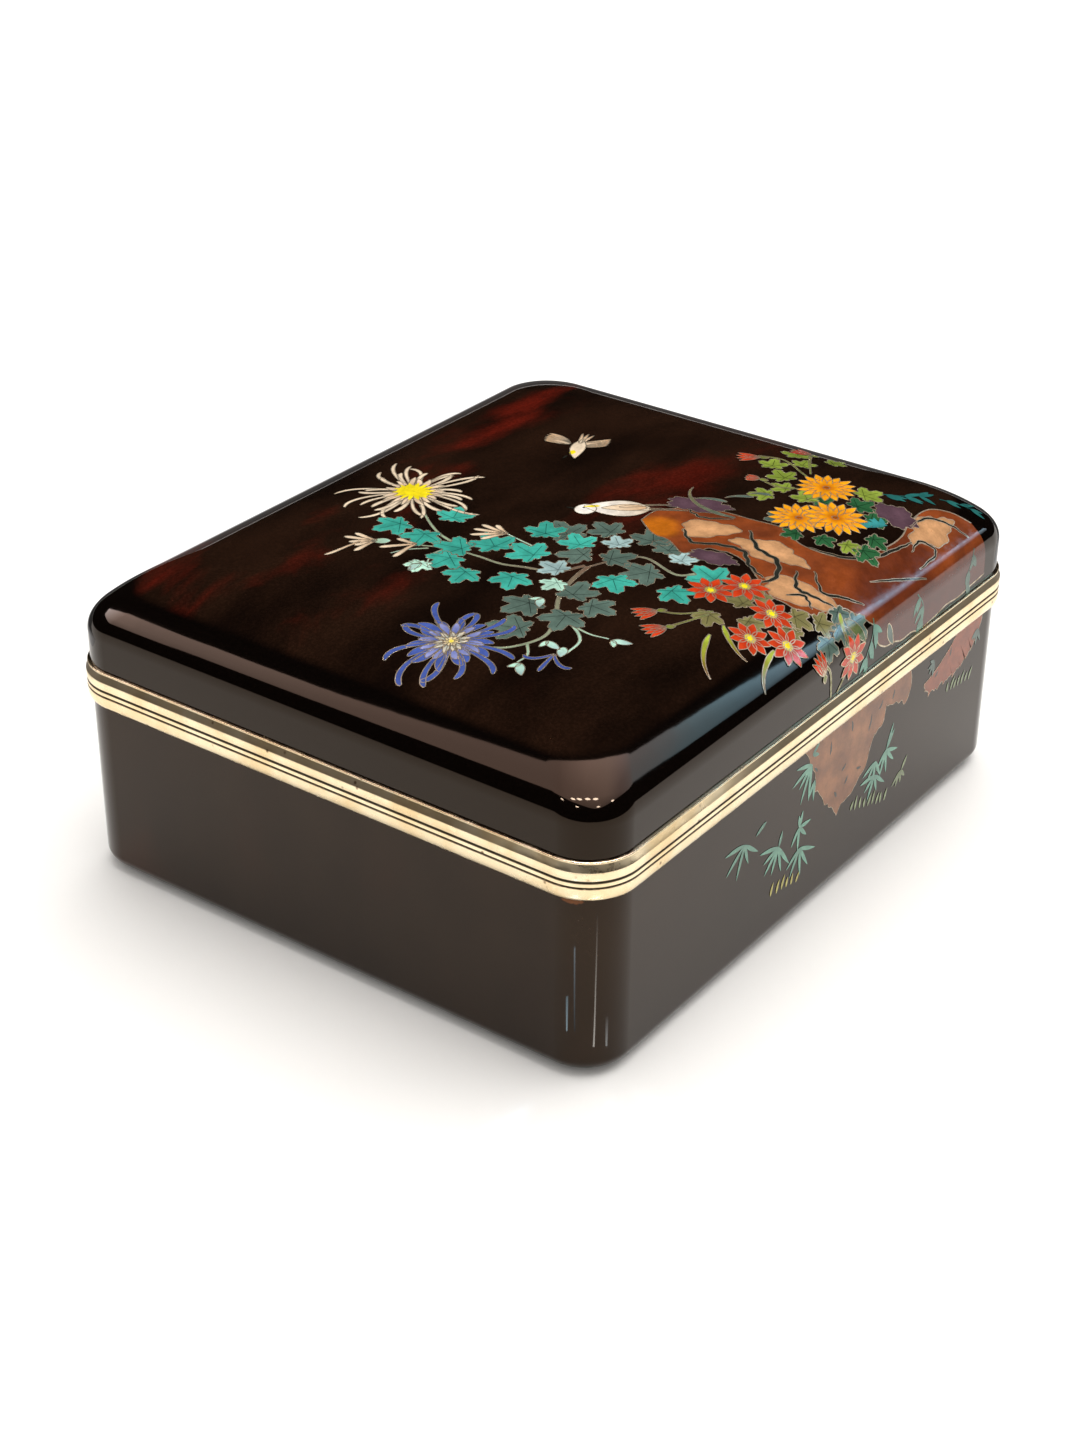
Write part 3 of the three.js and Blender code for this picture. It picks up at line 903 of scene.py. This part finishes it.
rock = Drawing("rock")
ledge(
    rock,
    [(11, -18), (18, -18), (24, -23), (28, -30), (29, -41), (30, -50), (26, -58), (28, -66), (35, -71)]
    + [(46, -73), (54, -73), (62, -71), (71, -71), (77, -75), (81, -81)],
    [(11, -18), (6, -25), (5, -31), (1, -38), (8, -42), (8, -51), (3, -59), (-1, -64), (0, -71), (6, -78)]
    + [(14, -79), (20, -87), (27, -96), (42, -98.4), (60, -98.4), (82, -97)],
    4.0,
    rock_colour,
)
for count, (centre, size, heading, stretch) in enumerate(SAND_PATCHES):
    teeth = 0.05 + 0.02 * (count % 2)
    rock.blob(centre, size, (SAND * 1.05, SAND * 0.72), 4.5, 3 + count % 2, 0.16, stretch, heading, teeth)
for width, knots in (
    (1.3, [(13, -30), (8, -36), (11, -42), (12, -49), (7, -54), (4, -60)]),
    (1.4, [(23, -44), (16, -51), (14, -58), (7, -62), (2, -61)]),
    (1.2, [(14, -64), (8, -68), (9, -72), (12, -78)]),
    (1.0, [(18, -67), (13, -73), (17, -77), (22, -82)]),
    (0.9, [(3, -68), (7, -71), (5, -75)]),
    (1.1, [(26, -60), (30, -68), (38, -73), (48, -75), (55, -76)]),
    (0.8, [(52, -78), (58, -77), (60, -82), (50, -83)]),
    (0.8, [(60, -72), (68, -73), (73, -78), (76, -84)]),
    (0.8, [(24, -24), (22, -30), (26, -37)]),
    (0.7, [(30, -78), (40, -82), (50, -86)]),
):
    path = smooth_path(knots, 10 * len(knots))
    jag = 0.22 * np.sin(np.arange(len(path)) * 0.9)[:, None] * np.array([1.0, -0.6])
    taper = np.sin(np.pi * np.linspace(0.04, 0.96, len(path))) ** 0.5
    cleft = rock.ribbon(path + jag, width / 2 * taper, INK, 5.2)
    rock.outline(cleft, 5.4, 0.1)
for centre, size, stretch, heading in (
    ((28, -25), 4.3, 2.0, -1.2),
    ((4, -45), 3.4, 1.9, -1.4),
    ((60, -67), 4.8, 1.3, -1.2),
):
    rock.blob(centre, size, (MAUVE * 1.2, MAUVE * 0.9), 5.4, 5, 0.1, stretch, heading, 0.08)
rock.leaf((34, -47), 1.2, 5.0, GREY_GREEN * 0.8, 5.6)
rock.lay()


# Chrysanthemums, daisies and grasses by the rock
# Orange chrysanthemums above, red daisies with yellow hearts below, all with pointed petals in single
# cells.
ORANGE = linear(255, 176, 24)
AMBER = linear(232, 118, 8)
RED = linear(188, 44, 16)
SCARLET = linear(214, 68, 26)
OLIVE = linear(122, 116, 72)
LIME = linear(128, 146, 56)
BRIGHT_LIME = linear(172, 192, 62)
DARK_GREEN = linear(44, 96, 58)


def rosette(drawing, centre, rings, heart, layer):
    """Rings of even petals from the outside in: number, length, width and tints, round a small heart."""
    for ring, (count, length, width, tints) in enumerate(rings):
        for turn in np.arange(count) * 2 * np.pi / count + draw_random.uniform(0, 1):
            root = np.asarray(centre) + 0.15 * length * pointing(turn)
            reach = 0.85 * length * draw_random.uniform(0.93, 1.05)
            drawing.petal(root, turn, reach, width, layer, tints, wired=ring == 0)
            layer += 0.03
    drawing.blob(centre, heart[0], heart[1], layer + 0.2, 7, 0.05)
    return layer + 0.6


green_leaves = Drawing("green_leaves")
layer = 5.8
for tint, places in (
    (DARK_GREEN, [(33, -60, 4.4), (45, -69, 4.6), (52, -64, 5.6), (50, -50, 0.8)]),
    (DARK_GREEN, [(55, -58, 6.0), (30, -54, 2.6), (38, -70, 4.5)]),
    (LIME, [(49, -46, 0.8), (36, -66, 4.5), (51, -38, 1.4), (62, -27, 0.4), (68, -33, 0.2), (76, -38, 6.0)]),
    (LIME, [(62, -56, 5.9), (45, -36, 2.2), (57, -34, 1.0), (74, -28, 0.6), (58, -45, 0.9)]),
    (OLIVE, [(-21, -60, 3.6), (-10, -63, 1.0), (-15, -68, 4.4), (-2, -74, 5.0)]),
    (OLIVE, [(3, -79, 5.6), (-7, -76, 4.5), (-5, -64, 0.4)]),
    (GREY_GREEN, [(8, -83, 4.6), (14, -84, 5.2), (1, -84, 4.2)]),
):
    for x, q, heading in places:
        size = draw_random.uniform(4.2, 5.8)
        green_leaves.leaf((x, q), heading, size, tint * draw_random.uniform(0.85, 1.15), layer)
        layer += 0.06
for knots in (
    [(66, -20), (68, -27), (63, -36), (60, -42)],
    [(52, -29), (51, -36), (55, -43)],
    [(78, -30), (72, -33), (64, -38)],
    [(-29, -50), (-26, -55), (-19, -60)],
    [(-34, -56), (-28, -58), (-21, -60)],
    [(-4, -88), (-1, -92), (0, -99)],
    [(8, -92), (6, -96), (3, -99)],
):
    green_leaves.stem(knots, 0.8, (OLIVE, LIME * 0.8), layer)
    layer += 0.06
for tints, blades in (
    ((BRIGHT_LIME, BROWN), [(-28, -65, 3.4, 17), (-22, -65, 3.9, 13)]),
    ((BRIGHT_LIME, BROWN), [(-17, -78, 3.3, 15), (12, -80, 3.9, 9)]),
    ((GREY_GREEN, GREY_GREEN), [(34, -30, 1.6, 9), (41, -34, 1.9, 8), (45, -37, 1.7, 6)]),
):
    for x, q, heading, length in blades:
        green_leaves.petal((x, q), heading, length, 1.7, layer, tints, 0.55, 0.4, "blade")
        layer += 0.06
green_leaves.leaf((11.5, -79.5), 4.6, 5.0, GREY_GREEN, 5.75)
green_leaves.petal((27, -37), 1.8, 24, 1.7, layer, (GREY_GREEN * 0.9, OLIVE), -1.1, -0.6, "blade")
green_leaves.lay()

orange_flowers = Drawing("orange_flowers")
layer = 8.0
for centre, radius in (((59, -46), 8.6), ((38, -50), 8.2), ((45, -57), 8.8)):
    rings = (
        (16, radius, 2.9, (AMBER, ORANGE)),
        (12, 0.76 * radius, 2.2, (AMBER * 0.9, ORANGE)),
        (9, 0.5 * radius, 1.7, (AMBER * 0.7, ORANGE)),
    )
    layer = rosette(orange_flowers, centre, rings, (0.9, (AMBER * 0.35, AMBER * 0.5)), layer)
orange_flowers.lay()

red_flowers = Drawing("red_flowers")
layer = 8.0
for centre in ((-11, -54), (-3, -59), (-7, -70), (-20, -72), (-12, -79), (10, -92)):
    rings = ((9, draw_random.uniform(5.8, 6.6), 2.7, (RED * 0.8, SCARLET)),)
    layer = rosette(red_flowers, centre, rings, (1.5, (YELLOW, YELLOW)), layer)
for x, q, heading, length, tint in (
    (-29, -50, 2.6, 6.5, SCARLET),
    (-34, -56, 2.7, 6.5, SCARLET),
    (65, -21, 2.2, 6.5, SCARLET),
    (78, -30, 1.6, 6.5, RED),
    (52, -29, 1.9, 4.0, SCARLET),
    (-4, -91, 1.9, 6.5, SCARLET),
):
    for spread in (-0.45, -0.15, 0.15, 0.45):
        red_flowers.petal((x, q), heading + spread, length, 1.9, layer, (RED, tint))
        layer += 0.03
    red_flowers.petal((x, q), heading + 3.0, 2.6, 1.8, layer, (LIME * 0.8, OLIVE))
red_flowers.lay()


# Birds
# Two small white birds with yellow throats: one flies over the branch with its wings out, the other sits
# on the rock.
PLUME = (CREAM * 0.8, TAN * 1.1)
THROAT = (YELLOW, YELLOW * 0.9)
BEAK = (INK, INK)
OUTER_TAIL = (linear(120, 105, 85), linear(96, 84, 70))
INNER_TAIL = (linear(140, 122, 98), linear(100, 88, 72))
BREAST = linear(250, 244, 236)
HEAD = (linear(250, 245, 238), linear(246, 236, 222))

birds = Drawing("birds")
for spread in np.linspace(-0.5, 0.55, 6):
    birds.petal((40, 25), -0.95 + 0.4 * spread, 10.5 + 2 * spread, 2.1, 6.0 + spread, PLUME, 0.2, 0.2)
    birds.petal((40, 26), 1.35 + 0.6 * spread, 8.6 - 2 * spread, 2.2, 6.6 + spread, PLUME, 0.3, 0.3)
for spread in (-0.25, 0.0, 0.25):
    birds.petal((42, 24), 0.25 + spread, 7.0, 1.5, 7.2 + spread, (CREAM * 0.8, TAN), shape="blade")
birds.petal((44, 24.5), 3.45, 12.5, 4.2, 7.6, (CREAM * 0.9, CREAM), 0.25)
birds.petal((37, 22.5), 3.5, 3.0, 1.8, 7.8, THROAT, wired=False)
birds.petal((33, 22.0), 3.3, 2.6, 0.7, 7.9, BEAK, shape="blade", wired=False)
birds.petal((13, -10), -0.85, 18.0, 2.0, 6.0, OUTER_TAIL, -0.25, shape="blade")
birds.petal((14, -9), -0.7, 14.0, 1.6, 6.2, INNER_TAIL, -0.25, shape="blade")
birds.petal((18, -16), 2.25, 17.5, 9.6, 6.4, (CREAM * 0.75, BREAST), -0.25)
birds.petal((18, -15), 2.15, 12.0, 4.0, 6.6, (TAN, CREAM), 0.15)
birds.blob((7.5, -2.5), 3.0, HEAD, 6.8, 2, 0.06)
birds.petal((11.5, -4.5), 2.3, 4.4, 1.3, 7.0, THROAT, wired=False)
birds.petal((6.2, 0.2), 1.9, 2.2, 0.8, 7.1, BEAK, shape="blade", wired=False)
birds.blob((8.0, -1.6), 0.35, BEAK, 7.2, 2, 0.0, wired=False)
birds.lay()


# Bamboo, and the picture on the tray's front
# Sprays of narrow bamboo leaves hang in front of the rock. The rock goes on below the rims, with bamboo
# beside it and short tufts of grass under it.
POOL_GREEN = linear(40, 108, 104)
FRONT_GREEN = linear(116, 166, 144)
DULL_GREEN = linear(128, 140, 104)


def spray(drawing, knots, tint, layer, size, hang):
    """A thin cane with bunches of pointed leaves: each bunch fans out from a joint of the cane."""
    path = smooth_path(knots, 10 * len(knots))
    drawing.ribbon(path, 0.22, tint * 0.7, layer)
    for joint in path[4::9]:
        for spread in draw_random.uniform(-0.95, 0.95, 3):
            length = size * draw_random.uniform(0.65, 1.1)
            tints = (tint * 0.8, tint)
            drawing.petal(joint, hang + spread, length, 1.7, layer + 0.2, tints, 0.15, wired=False)
            layer += 0.05


bamboo = Drawing("bamboo")
for knots, tint, layer, size, hang in (
    ([(66, -58), (72, -64), (79, -67)], POOL_GREEN, 6.0, 6.0, -0.9),
    ([(80, -70), (85, -75), (88, -79)], POOL_GREEN, 6.6, 6.0, -0.6),
    ([(48, -65), (51, -67), (54, -68)], linear(60, 150, 150), 7.6, 4.0, 1.5),
    ([(22, -86), (19, -92), (16, -98)], linear(96, 150, 130), 6.0, 6.5, -1.6),
    ([(44, -88), (47, -93), (45, -98)], linear(90, 130, 112), 6.8, 6.0, -1.6),
    ([(76, -87), (72, -93), (73, -98)], linear(84, 112, 98), 6.8, 5.5, -1.6),
):
    spray(bamboo, knots, tint, layer, size, hang)
bamboo.petal((12, -82), -1.2, 9.0, 3.4, 8.0, (OLIVE, DARK_GREEN), 0.2)
bamboo.petal((10, -84), -1.9, 8.0, 3.0, 8.2, (GREY_GREEN, DARK_GREEN), -0.2)
bamboo.petal((28, -90), -1.3, 8.0, 2.6, 8.0, (GREY_GREEN, GREY_GREEN * 0.8), 0.3)
bamboo.lay()


def front_rock_colour(points):
    """Orange brown and duller brown where two slow waves cancel out, and redder on the far side."""
    x, z = points[..., 0], points[..., 1]
    wave = 0.5 + 0.5 * np.sin(0.24 * x + 0.3 * z) * np.cos(0.17 * x - 0.28 * z)
    tint = np.broadcast_to(linear(118, 74, 46), (*points.shape[:2], 3))
    tint = blend(tint, linear(156, 104, 66), 0.85 * wave)
    return blend(tint, linear(138, 70, 42), np.clip((x - 48) / 8, 0, 1))


front_rock = Drawing("front_rock", lie_on_front)
ledge(
    front_rock,
    [(x, FRONT_TOP) for x in np.linspace(-11, 43.5, 22)],
    [(-11, 50.9), (-8, 47), (-6, 43.3), (-4.5, 39), (-3.3, 35.4), (1, 30), (4, 28), (7, 23.2)]
    + [(10, 25.5), (15, 26), (18, 29), (21.5, 30.5), (23, 34), (24.5, 37.7), (27, 40), (30, 41)]
    + [(31, 46), (35, 44), (39, 43), (42.5, 42), (44.4, 46.7), (43.5, 50.9)],
    0.0,
    front_rock_colour,
    240,
    60,
    0.07,
)
ledge(
    front_rock,
    [(52, 42.5), (56, 43.5), (60.3, 45.2), (65.8, 48.1), (70, FRONT_TOP), (78, FRONT_TOP), (84, FRONT_TOP)],
    [(52, 41.5), (55.4, 38.3), (62.8, 38.1), (70.5, 38.4), (76.3, 40.5), (80.6, 43.5), (84, 49)],
    0.2,
    front_rock_colour,
    120,
    40,
    0.07,
)
for x, z, turn, length in (
    (2, 44, 1.2, 4),
    (9, 36, 0.3, 2.5),
    (22, 42, 1.0, 5),
    (17, 33, -0.6, 2.5),
    (27, 46, 0.6, 3),
    (-4, 42, 2.0, 2.5),
    (13, 46, 1.4, 3.5),
    (34, 46, 0.9, 3),
    (66, 45, 1.1, 3),
    (58, 42, 0.4, 2.5),
    (7, 29, 1.8, 2.5),
    (11, 31, 0.7, 2.5),
):
    front_rock.petal((x, z), turn, length, 0.8, 1.0, (INK * 1.6, INK * 1.6), 0.6, wired=False)
front_rock.lay()


def fan(drawing, root, first, last, count, length, tint, layer):
    """A bunch of bamboo leaves from one joint: their headings go in even steps from the first to the
    last."""
    for heading in np.linspace(first, last, count) + draw_random.uniform(-0.09, 0.09, count):
        reach = length * draw_random.uniform(0.75, 1.12)
        drawing.petal(root, heading, reach, 1.25, layer, (tint * 0.75, tint), 0.12, wired=False)
        layer += 0.02


front_plants = Drawing("front_plants", lie_on_front)
layer = 2.0
for root, first, last, count, length, tint in (
    ((-7, 45.5), 2.9, 4.6, 5, 10.0, FRONT_GREEN),
    ((-5, 40), 4.1, 4.6, 2, 5.5, FRONT_GREEN),
    ((-7, 48.5), -0.4, 0.6, 2, 4.0, FRONT_GREEN * 0.7),
    ((33, 31), -2.5, -0.4, 5, 8.0, FRONT_GREEN),
    ((33, 31), 0.85, 1.15, 2, 7.0, FRONT_GREEN * 0.8),
    ((27.5, 30), -2.9, -1.2, 4, 6.5, FRONT_GREEN),
    ((27.6, 25.7), 3.0, 5.5, 5, 7.0, FRONT_GREEN),
    ((42.6, 20), -2.7, -1.0, 4, 5.0, DULL_GREEN),
    ((43, 20), 0.9, 1.2, 1, 4.0, DULL_GREEN),
    ((-11.4, 29), -2.4, -0.2, 4, 6.5, FRONT_GREEN),
    ((-11.4, 29), 1.3, 1.7, 2, 4.8, FRONT_GREEN),
    ((-10.5, 22.3), -2.7, -0.45, 5, 8.5, FRONT_GREEN),
    ((-21.4, 28.1), 2.8, 5.3, 6, 9.5, FRONT_GREEN),
    ((-21.4, 28.1), 1.2, 1.9, 1, 4.5, FRONT_GREEN * 0.8),
    ((-38.2, 37.4), 3.05, 5.6, 5, 9.0, FRONT_GREEN * 0.85),
    ((-28.3, 39.2), 3.5, 3.6, 1, 5.3, FRONT_GREEN * 0.7),
    ((57, 47), 2.6, 4.4, 4, 4.0, GREY_GREEN),
    ((82, 47), 3.6, 5.0, 4, 4.5, GREY_GREEN),
):
    fan(front_plants, root, first, last, count, length, tint, layer)
    layer += 0.15
for first, last, count, tint in (
    ((-24, 14.6), (-11.5, 12.4), 6, linear(186, 176, 98)),
    ((15.5, 20.6), (34, 14.3), 9, DULL_GREEN * 1.2),
    ((66, 34), (79, 32), 7, DULL_GREEN),
):
    for place in np.linspace(first, last, count) + draw_random.uniform(-0.3, 0.3, (count, 2)):
        heading = draw_random.uniform(1.15, 1.6)
        length = draw_random.uniform(2.8, 4.4)
        front_plants.petal(place, heading, length, 1.0, layer, (tint, tint), -0.25, wired=False)
front_plants.lay()


# Ground, light and camera
# The box stands on a plain pale floor under a large soft light and a pale dome. It mirrors a bright strip
# on the ceiling with small lamps beside it, darker floor behind it, and thin lines of light on the floor
# by its near corner. The camera stands where the photograph was taken from.
CAMERA_TURN = np.radians(-53.89)
CAMERA_RISE = np.radians(30.0)
CAMERA_ROLL = np.radians(0.44)
CAMERA_DISTANCE = 677.4
CAMERA_TARGET = np.array([-3.45, 2.89, 25.53])
FOCAL_PIXELS = 2454.6
PICTURE_HEIGHT = 1448
SENSOR = 36.0

back = np.array(
    [
        np.sin(CAMERA_TURN) * np.cos(CAMERA_RISE),
        -np.cos(CAMERA_TURN) * np.cos(CAMERA_RISE),
        np.sin(CAMERA_RISE),
    ]
)
level = np.array([np.cos(CAMERA_TURN), np.sin(CAMERA_TURN), 0.0])
upright = np.cross(back, level)
right = level * np.cos(CAMERA_ROLL) + upright * np.sin(CAMERA_ROLL)
up = upright * np.cos(CAMERA_ROLL) - level * np.sin(CAMERA_ROLL)
stand = (CAMERA_TARGET + back * CAMERA_DISTANCE) * MM
camera_data = bpy.data.cameras.new("camera")
camera_data.sensor_width = SENSOR
camera_data.lens = FOCAL_PIXELS * SENSOR / PICTURE_HEIGHT
camera_data.clip_start = 0.01
camera = bpy.data.objects.new("camera", camera_data)
bpy.context.collection.objects.link(camera)
rows = [[*column] for column in np.column_stack([right, up, back, stand])]
camera.matrix_world = Matrix([*rows, [0, 0, 0, 1]])
bpy.context.scene.camera = camera

FLOOR_REACH = 6.0
floor_corners = FLOOR_REACH * np.array([(-1, -1, 0), (1, -1, 0), (1, 1, 0), (-1, 1, 0)])
floor_mesh = bpy.data.meshes.new("floor")
floor_mesh.from_pydata(floor_corners.tolist(), [], [(0, 1, 2, 3)])
floor_mesh.materials.append(Shader("floor").finish(Base_Color=colour(252, 250, 246), Roughness=0.9))
floor = bpy.data.objects.new("floor", floor_mesh)
bpy.context.collection.objects.link(floor)

# The soft light faces the box, and doesn't show in reflections. Its strength is how bright its face is.
OVERHEAD_PLACE = Vector((1.4, -0.2, 3.9))
OVERHEAD_AIM = Vector((0, 0, 0.05))
OVERHEAD_SIDE = 5.0
OVERHEAD_STRENGTH = 2.3
overhead_data = bpy.data.lights.new("overhead", "AREA")
overhead_data.shape = "SQUARE"
overhead_data.size = OVERHEAD_SIDE
overhead_data.energy = OVERHEAD_STRENGTH * np.pi * OVERHEAD_SIDE * OVERHEAD_SIDE
overhead_data.color = (1.0, 0.99, 0.98)
overhead = bpy.data.objects.new("overhead", overhead_data)
overhead.location = OVERHEAD_PLACE
overhead.rotation_euler = (OVERHEAD_AIM - OVERHEAD_PLACE).to_track_quat("-Z", "Y").to_euler()
overhead.visible_glossy = False
bpy.context.collection.objects.link(overhead)

glow_paint = Shader("glow")
glow_tint = glow_paint.node("ShaderNodeAttribute", "Color", {"attribute_name": "glow"})
glow_finish = glow_paint.finish(Base_Color=colour(0, 0, 0), Emission_Color=glow_tint, Emission_Strength=1.0)


def mirrored_sheet(name, points, faces, tints):
    """A sheet that shows only in reflections, and glows in the tint given for each of its points."""
    mesh = bpy.data.meshes.new(name)
    mesh.from_pydata(np.asarray(points).tolist(), [], faces)
    glow = mesh.color_attributes.new("glow", "FLOAT_COLOR", "POINT")
    glow.data.foreach_set("color", np.column_stack([tints, np.ones(len(tints))]).ravel())
    mesh.materials.append(glow_finish)
    sheet = bpy.data.objects.new(name, mesh)
    sheet.visible_diffuse = False
    sheet.visible_camera = False
    sheet.visible_shadow = False
    bpy.context.collection.objects.link(sheet)


# The strip on the ceiling is smoothed through these knots. Each gives its inner edge and its outer edge as
# shares of its height, its tint at the inner edge, and the share of that tint left at the outer edge.
# The row between the edges has the tint part of the way down, which shapes how the strip fades.
PANEL_HEIGHT = 2.0
PANEL_STEPS = 76
PANEL_MIDDLE = 0.45
PANEL_MIDDLE_FALL = 0.65
PANEL_KNOTS = (
    ((0.2, 2.1), (-0.35, 1.7), (6.5, 5.8, 5.9), 0.8),
    ((-0.17, 1.4), (-1.0, 1.45), (7.0, 6.1, 6.1), 0.5),
    ((-0.47, 0.97), (-1.2, 1.3), (6.3, 5.3, 5.3), 0.42),
    ((-0.51, 0.92), (-1.05, 1.15), (4.4, 3.7, 3.7), 0.6),
    ((-0.5, 0.8), (-0.96, 1.0), (3.8, 3.2, 3.2), 0.62),
    ((-0.47, 0.73), (-0.83, 0.85), (3.4, 2.8, 2.8), 0.72),
    ((-0.35, 0.59), (-0.73, 0.7), (2.8, 2.3, 2.3), 0.9),
    ((-0.06, 0.26), (-0.64, 0.33), (3.0, 2.4, 2.4), 0.82),
    ((0.22, 0.01), (-0.63, -0.15), (5.4, 4.4, 4.4), 0.36),
    ((0.42, -0.13), (-0.5, -0.8), (5.3, 4.4, 4.4), 0.34),
    ((0.63, -0.27), (0.35, -0.78), (4.6, 3.9, 4.2), 0.34),
    ((1.06, -0.5), (1.2, -0.9), (2.6, 2.8, 3.2), 0.8),
    ((1.16, -0.57), (1.44, -1.04), (2.4, 4.1, 5.4), 0.55),
    ((1.27, -0.64), (1.65, -1.2), (2.9, 5.6, 7.8), 0.24),
    ((1.6, -0.86), (1.95, -1.4), (3.6, 6.4, 9.0), 0.14),
    ((2.7, -1.3), (2.8, -1.75), (3.7, 4.9, 6.1), 0.12),
)
knot_inner, knot_outer, knot_tints, knot_falls = zip(*PANEL_KNOTS)
inner_edge = smooth_path(knot_inner, PANEL_STEPS) * PANEL_HEIGHT
outer_edge = smooth_path(knot_outer, PANEL_STEPS) * PANEL_HEIGHT
strip = np.array([inner_edge, (1 - PANEL_MIDDLE) * inner_edge + PANEL_MIDDLE * outer_edge, outer_edge])
knots = np.arange(len(PANEL_KNOTS))
steps = np.linspace(0, knots[-1], PANEL_STEPS)
inner_tint = np.stack([np.interp(steps, knots, band) for band in np.transpose(knot_tints)], axis=1)
fall = np.interp(steps, knots, knot_falls)[:, None]
strip_tint = np.array([inner_tint, inner_tint * (1 - PANEL_MIDDLE_FALL * (1 - fall)), inner_tint * fall])
first = np.concatenate([np.arange(PANEL_STEPS - 1), PANEL_STEPS + np.arange(PANEL_STEPS - 1)])
strip_faces = np.stack([first, first + 1, first + PANEL_STEPS + 1, first + PANEL_STEPS], axis=1).tolist()

# The lamps are small bright discs, a little lower than the strip.
LAMPS = (
    (-0.45, 0.01),
    (-0.34, -0.09),
    (-0.21, -0.2),
    (-0.11, -0.31),
    (-0.38, -0.7),
    (0.1, -0.76),
    (-0.81, 0.28),
    (-0.86, -0.22),
)
LAMP_RADIUS = 0.1
LAMP_SIDES = 12
LAMP_DROP = 0.01
LAMP_TINT = (50.0, 50.0, 50.0)
lamp_rim = LAMP_RADIUS * pointing(np.arange(LAMP_SIDES) * 2 * np.pi / LAMP_SIDES)
lamp_plan = (np.array(LAMPS)[:, None] * PANEL_HEIGHT + lamp_rim).reshape(-1, 2)
lamp_faces = (strip.size // 2 + np.arange(len(lamp_plan)).reshape(-1, LAMP_SIDES)).tolist()
plan = np.concatenate([strip.reshape(-1, 2), lamp_plan])
drop = np.repeat([0.0, LAMP_DROP], [strip.size // 2, len(lamp_plan)])
mirrored_sheet(
    "panel",
    np.column_stack([plan, PANEL_HEIGHT - drop]),
    strip_faces + lamp_faces,
    np.concatenate([strip_tint.reshape(-1, 3), np.tile(LAMP_TINT, (len(lamp_plan), 1))]),
)

# Behind the box the floor shows dark in reflections. The change starts a hand's breadth out.
FLOOR_GAP = 0.001
BACK_START = -0.15
BACK_END = -0.12
BACK_TINTS = (1.0, 0.1, 0.03)
back_points = []
for out in (0.12, 0.24, 2.5):
    far_x = HALF_LENGTH * MM + out
    far_y = HALF_DEPTH * MM + out
    back_points += [(BACK_START, far_y, FLOOR_GAP), (far_x, far_y, FLOOR_GAP), (far_x, BACK_END, FLOOR_GAP)]
back_faces = [(i, i + 1, i + 4, i + 3) for i in (0, 1, 3, 4)]
mirrored_sheet("back_flag", back_points, back_faces, np.tile(np.repeat(BACK_TINTS, 3)[:, None], 3))

# Thin lines of light run down the tray's near corner, brightest by its foot. Each is a wedge on the floor.
NEAR_HALF_WIDTH = 0.5
FAR_HALF_WIDTH = 1.5
streak_points, streak_tints = [], []
for near, far, near_glow, far_glow in (
    ((-112.9, -80.3), (-147.0, -86.5), (0.8, 1.2, 1.6), (4.0, 6.0, 8.5)),
    ((-113.8, -74.0), (-127.0, -73.2), (6.0, 10.0, 14.0), (3.0, 5.0, 7.0)),
    ((-101.2, -87.9), (-131.0, -137.0), (11.0, 13.0, 15.0), (1.2, 1.2, 1.2)),
    ((-94.3, -91.0), (-95.3, -102.0), (6.0, 7.5, 9.0), (1.2, 1.2, 1.2)),
):
    near, far = np.array(near), np.array(far)
    aside = np.array([near[1] - far[1], far[0] - near[0]]) / np.linalg.norm(far - near)
    near_aside, far_aside = NEAR_HALF_WIDTH * aside, FAR_HALF_WIDTH * aside
    corners = [near - near_aside, near + near_aside, far + far_aside, far - far_aside]
    streak_points += [(x * MM, y * MM, FLOOR_GAP) for x, y in corners]
    streak_tints += [near_glow, near_glow, far_glow, far_glow]
streak_faces = np.arange(len(streak_points)).reshape(-1, 4).tolist()
mirrored_sheet("streaks", streak_points, streak_faces, np.array(streak_tints))

# The room is a pale dome for diffuse light, and nearly black in reflections.
world = bpy.data.worlds.new("room")
world.use_nodes = True
room_nodes = world.node_tree.nodes
room_tint = room_nodes.new("ShaderNodeMix")
room_tint.data_type = "RGBA"
room_tint.inputs[6].default_value = (0.76, 0.755, 0.75, 1.0)
room_tint.inputs[7].default_value = (0.006, 0.005, 0.004, 1.0)
rays = room_nodes.new("ShaderNodeLightPath")
world.node_tree.links.new(rays.outputs["Is Glossy Ray"], room_tint.inputs[0])
world.node_tree.links.new(room_tint.outputs[2], room_nodes["Background"].inputs["Color"])
bpy.context.scene.world = world
bpy.context.scene.view_settings.view_transform = "Standard"
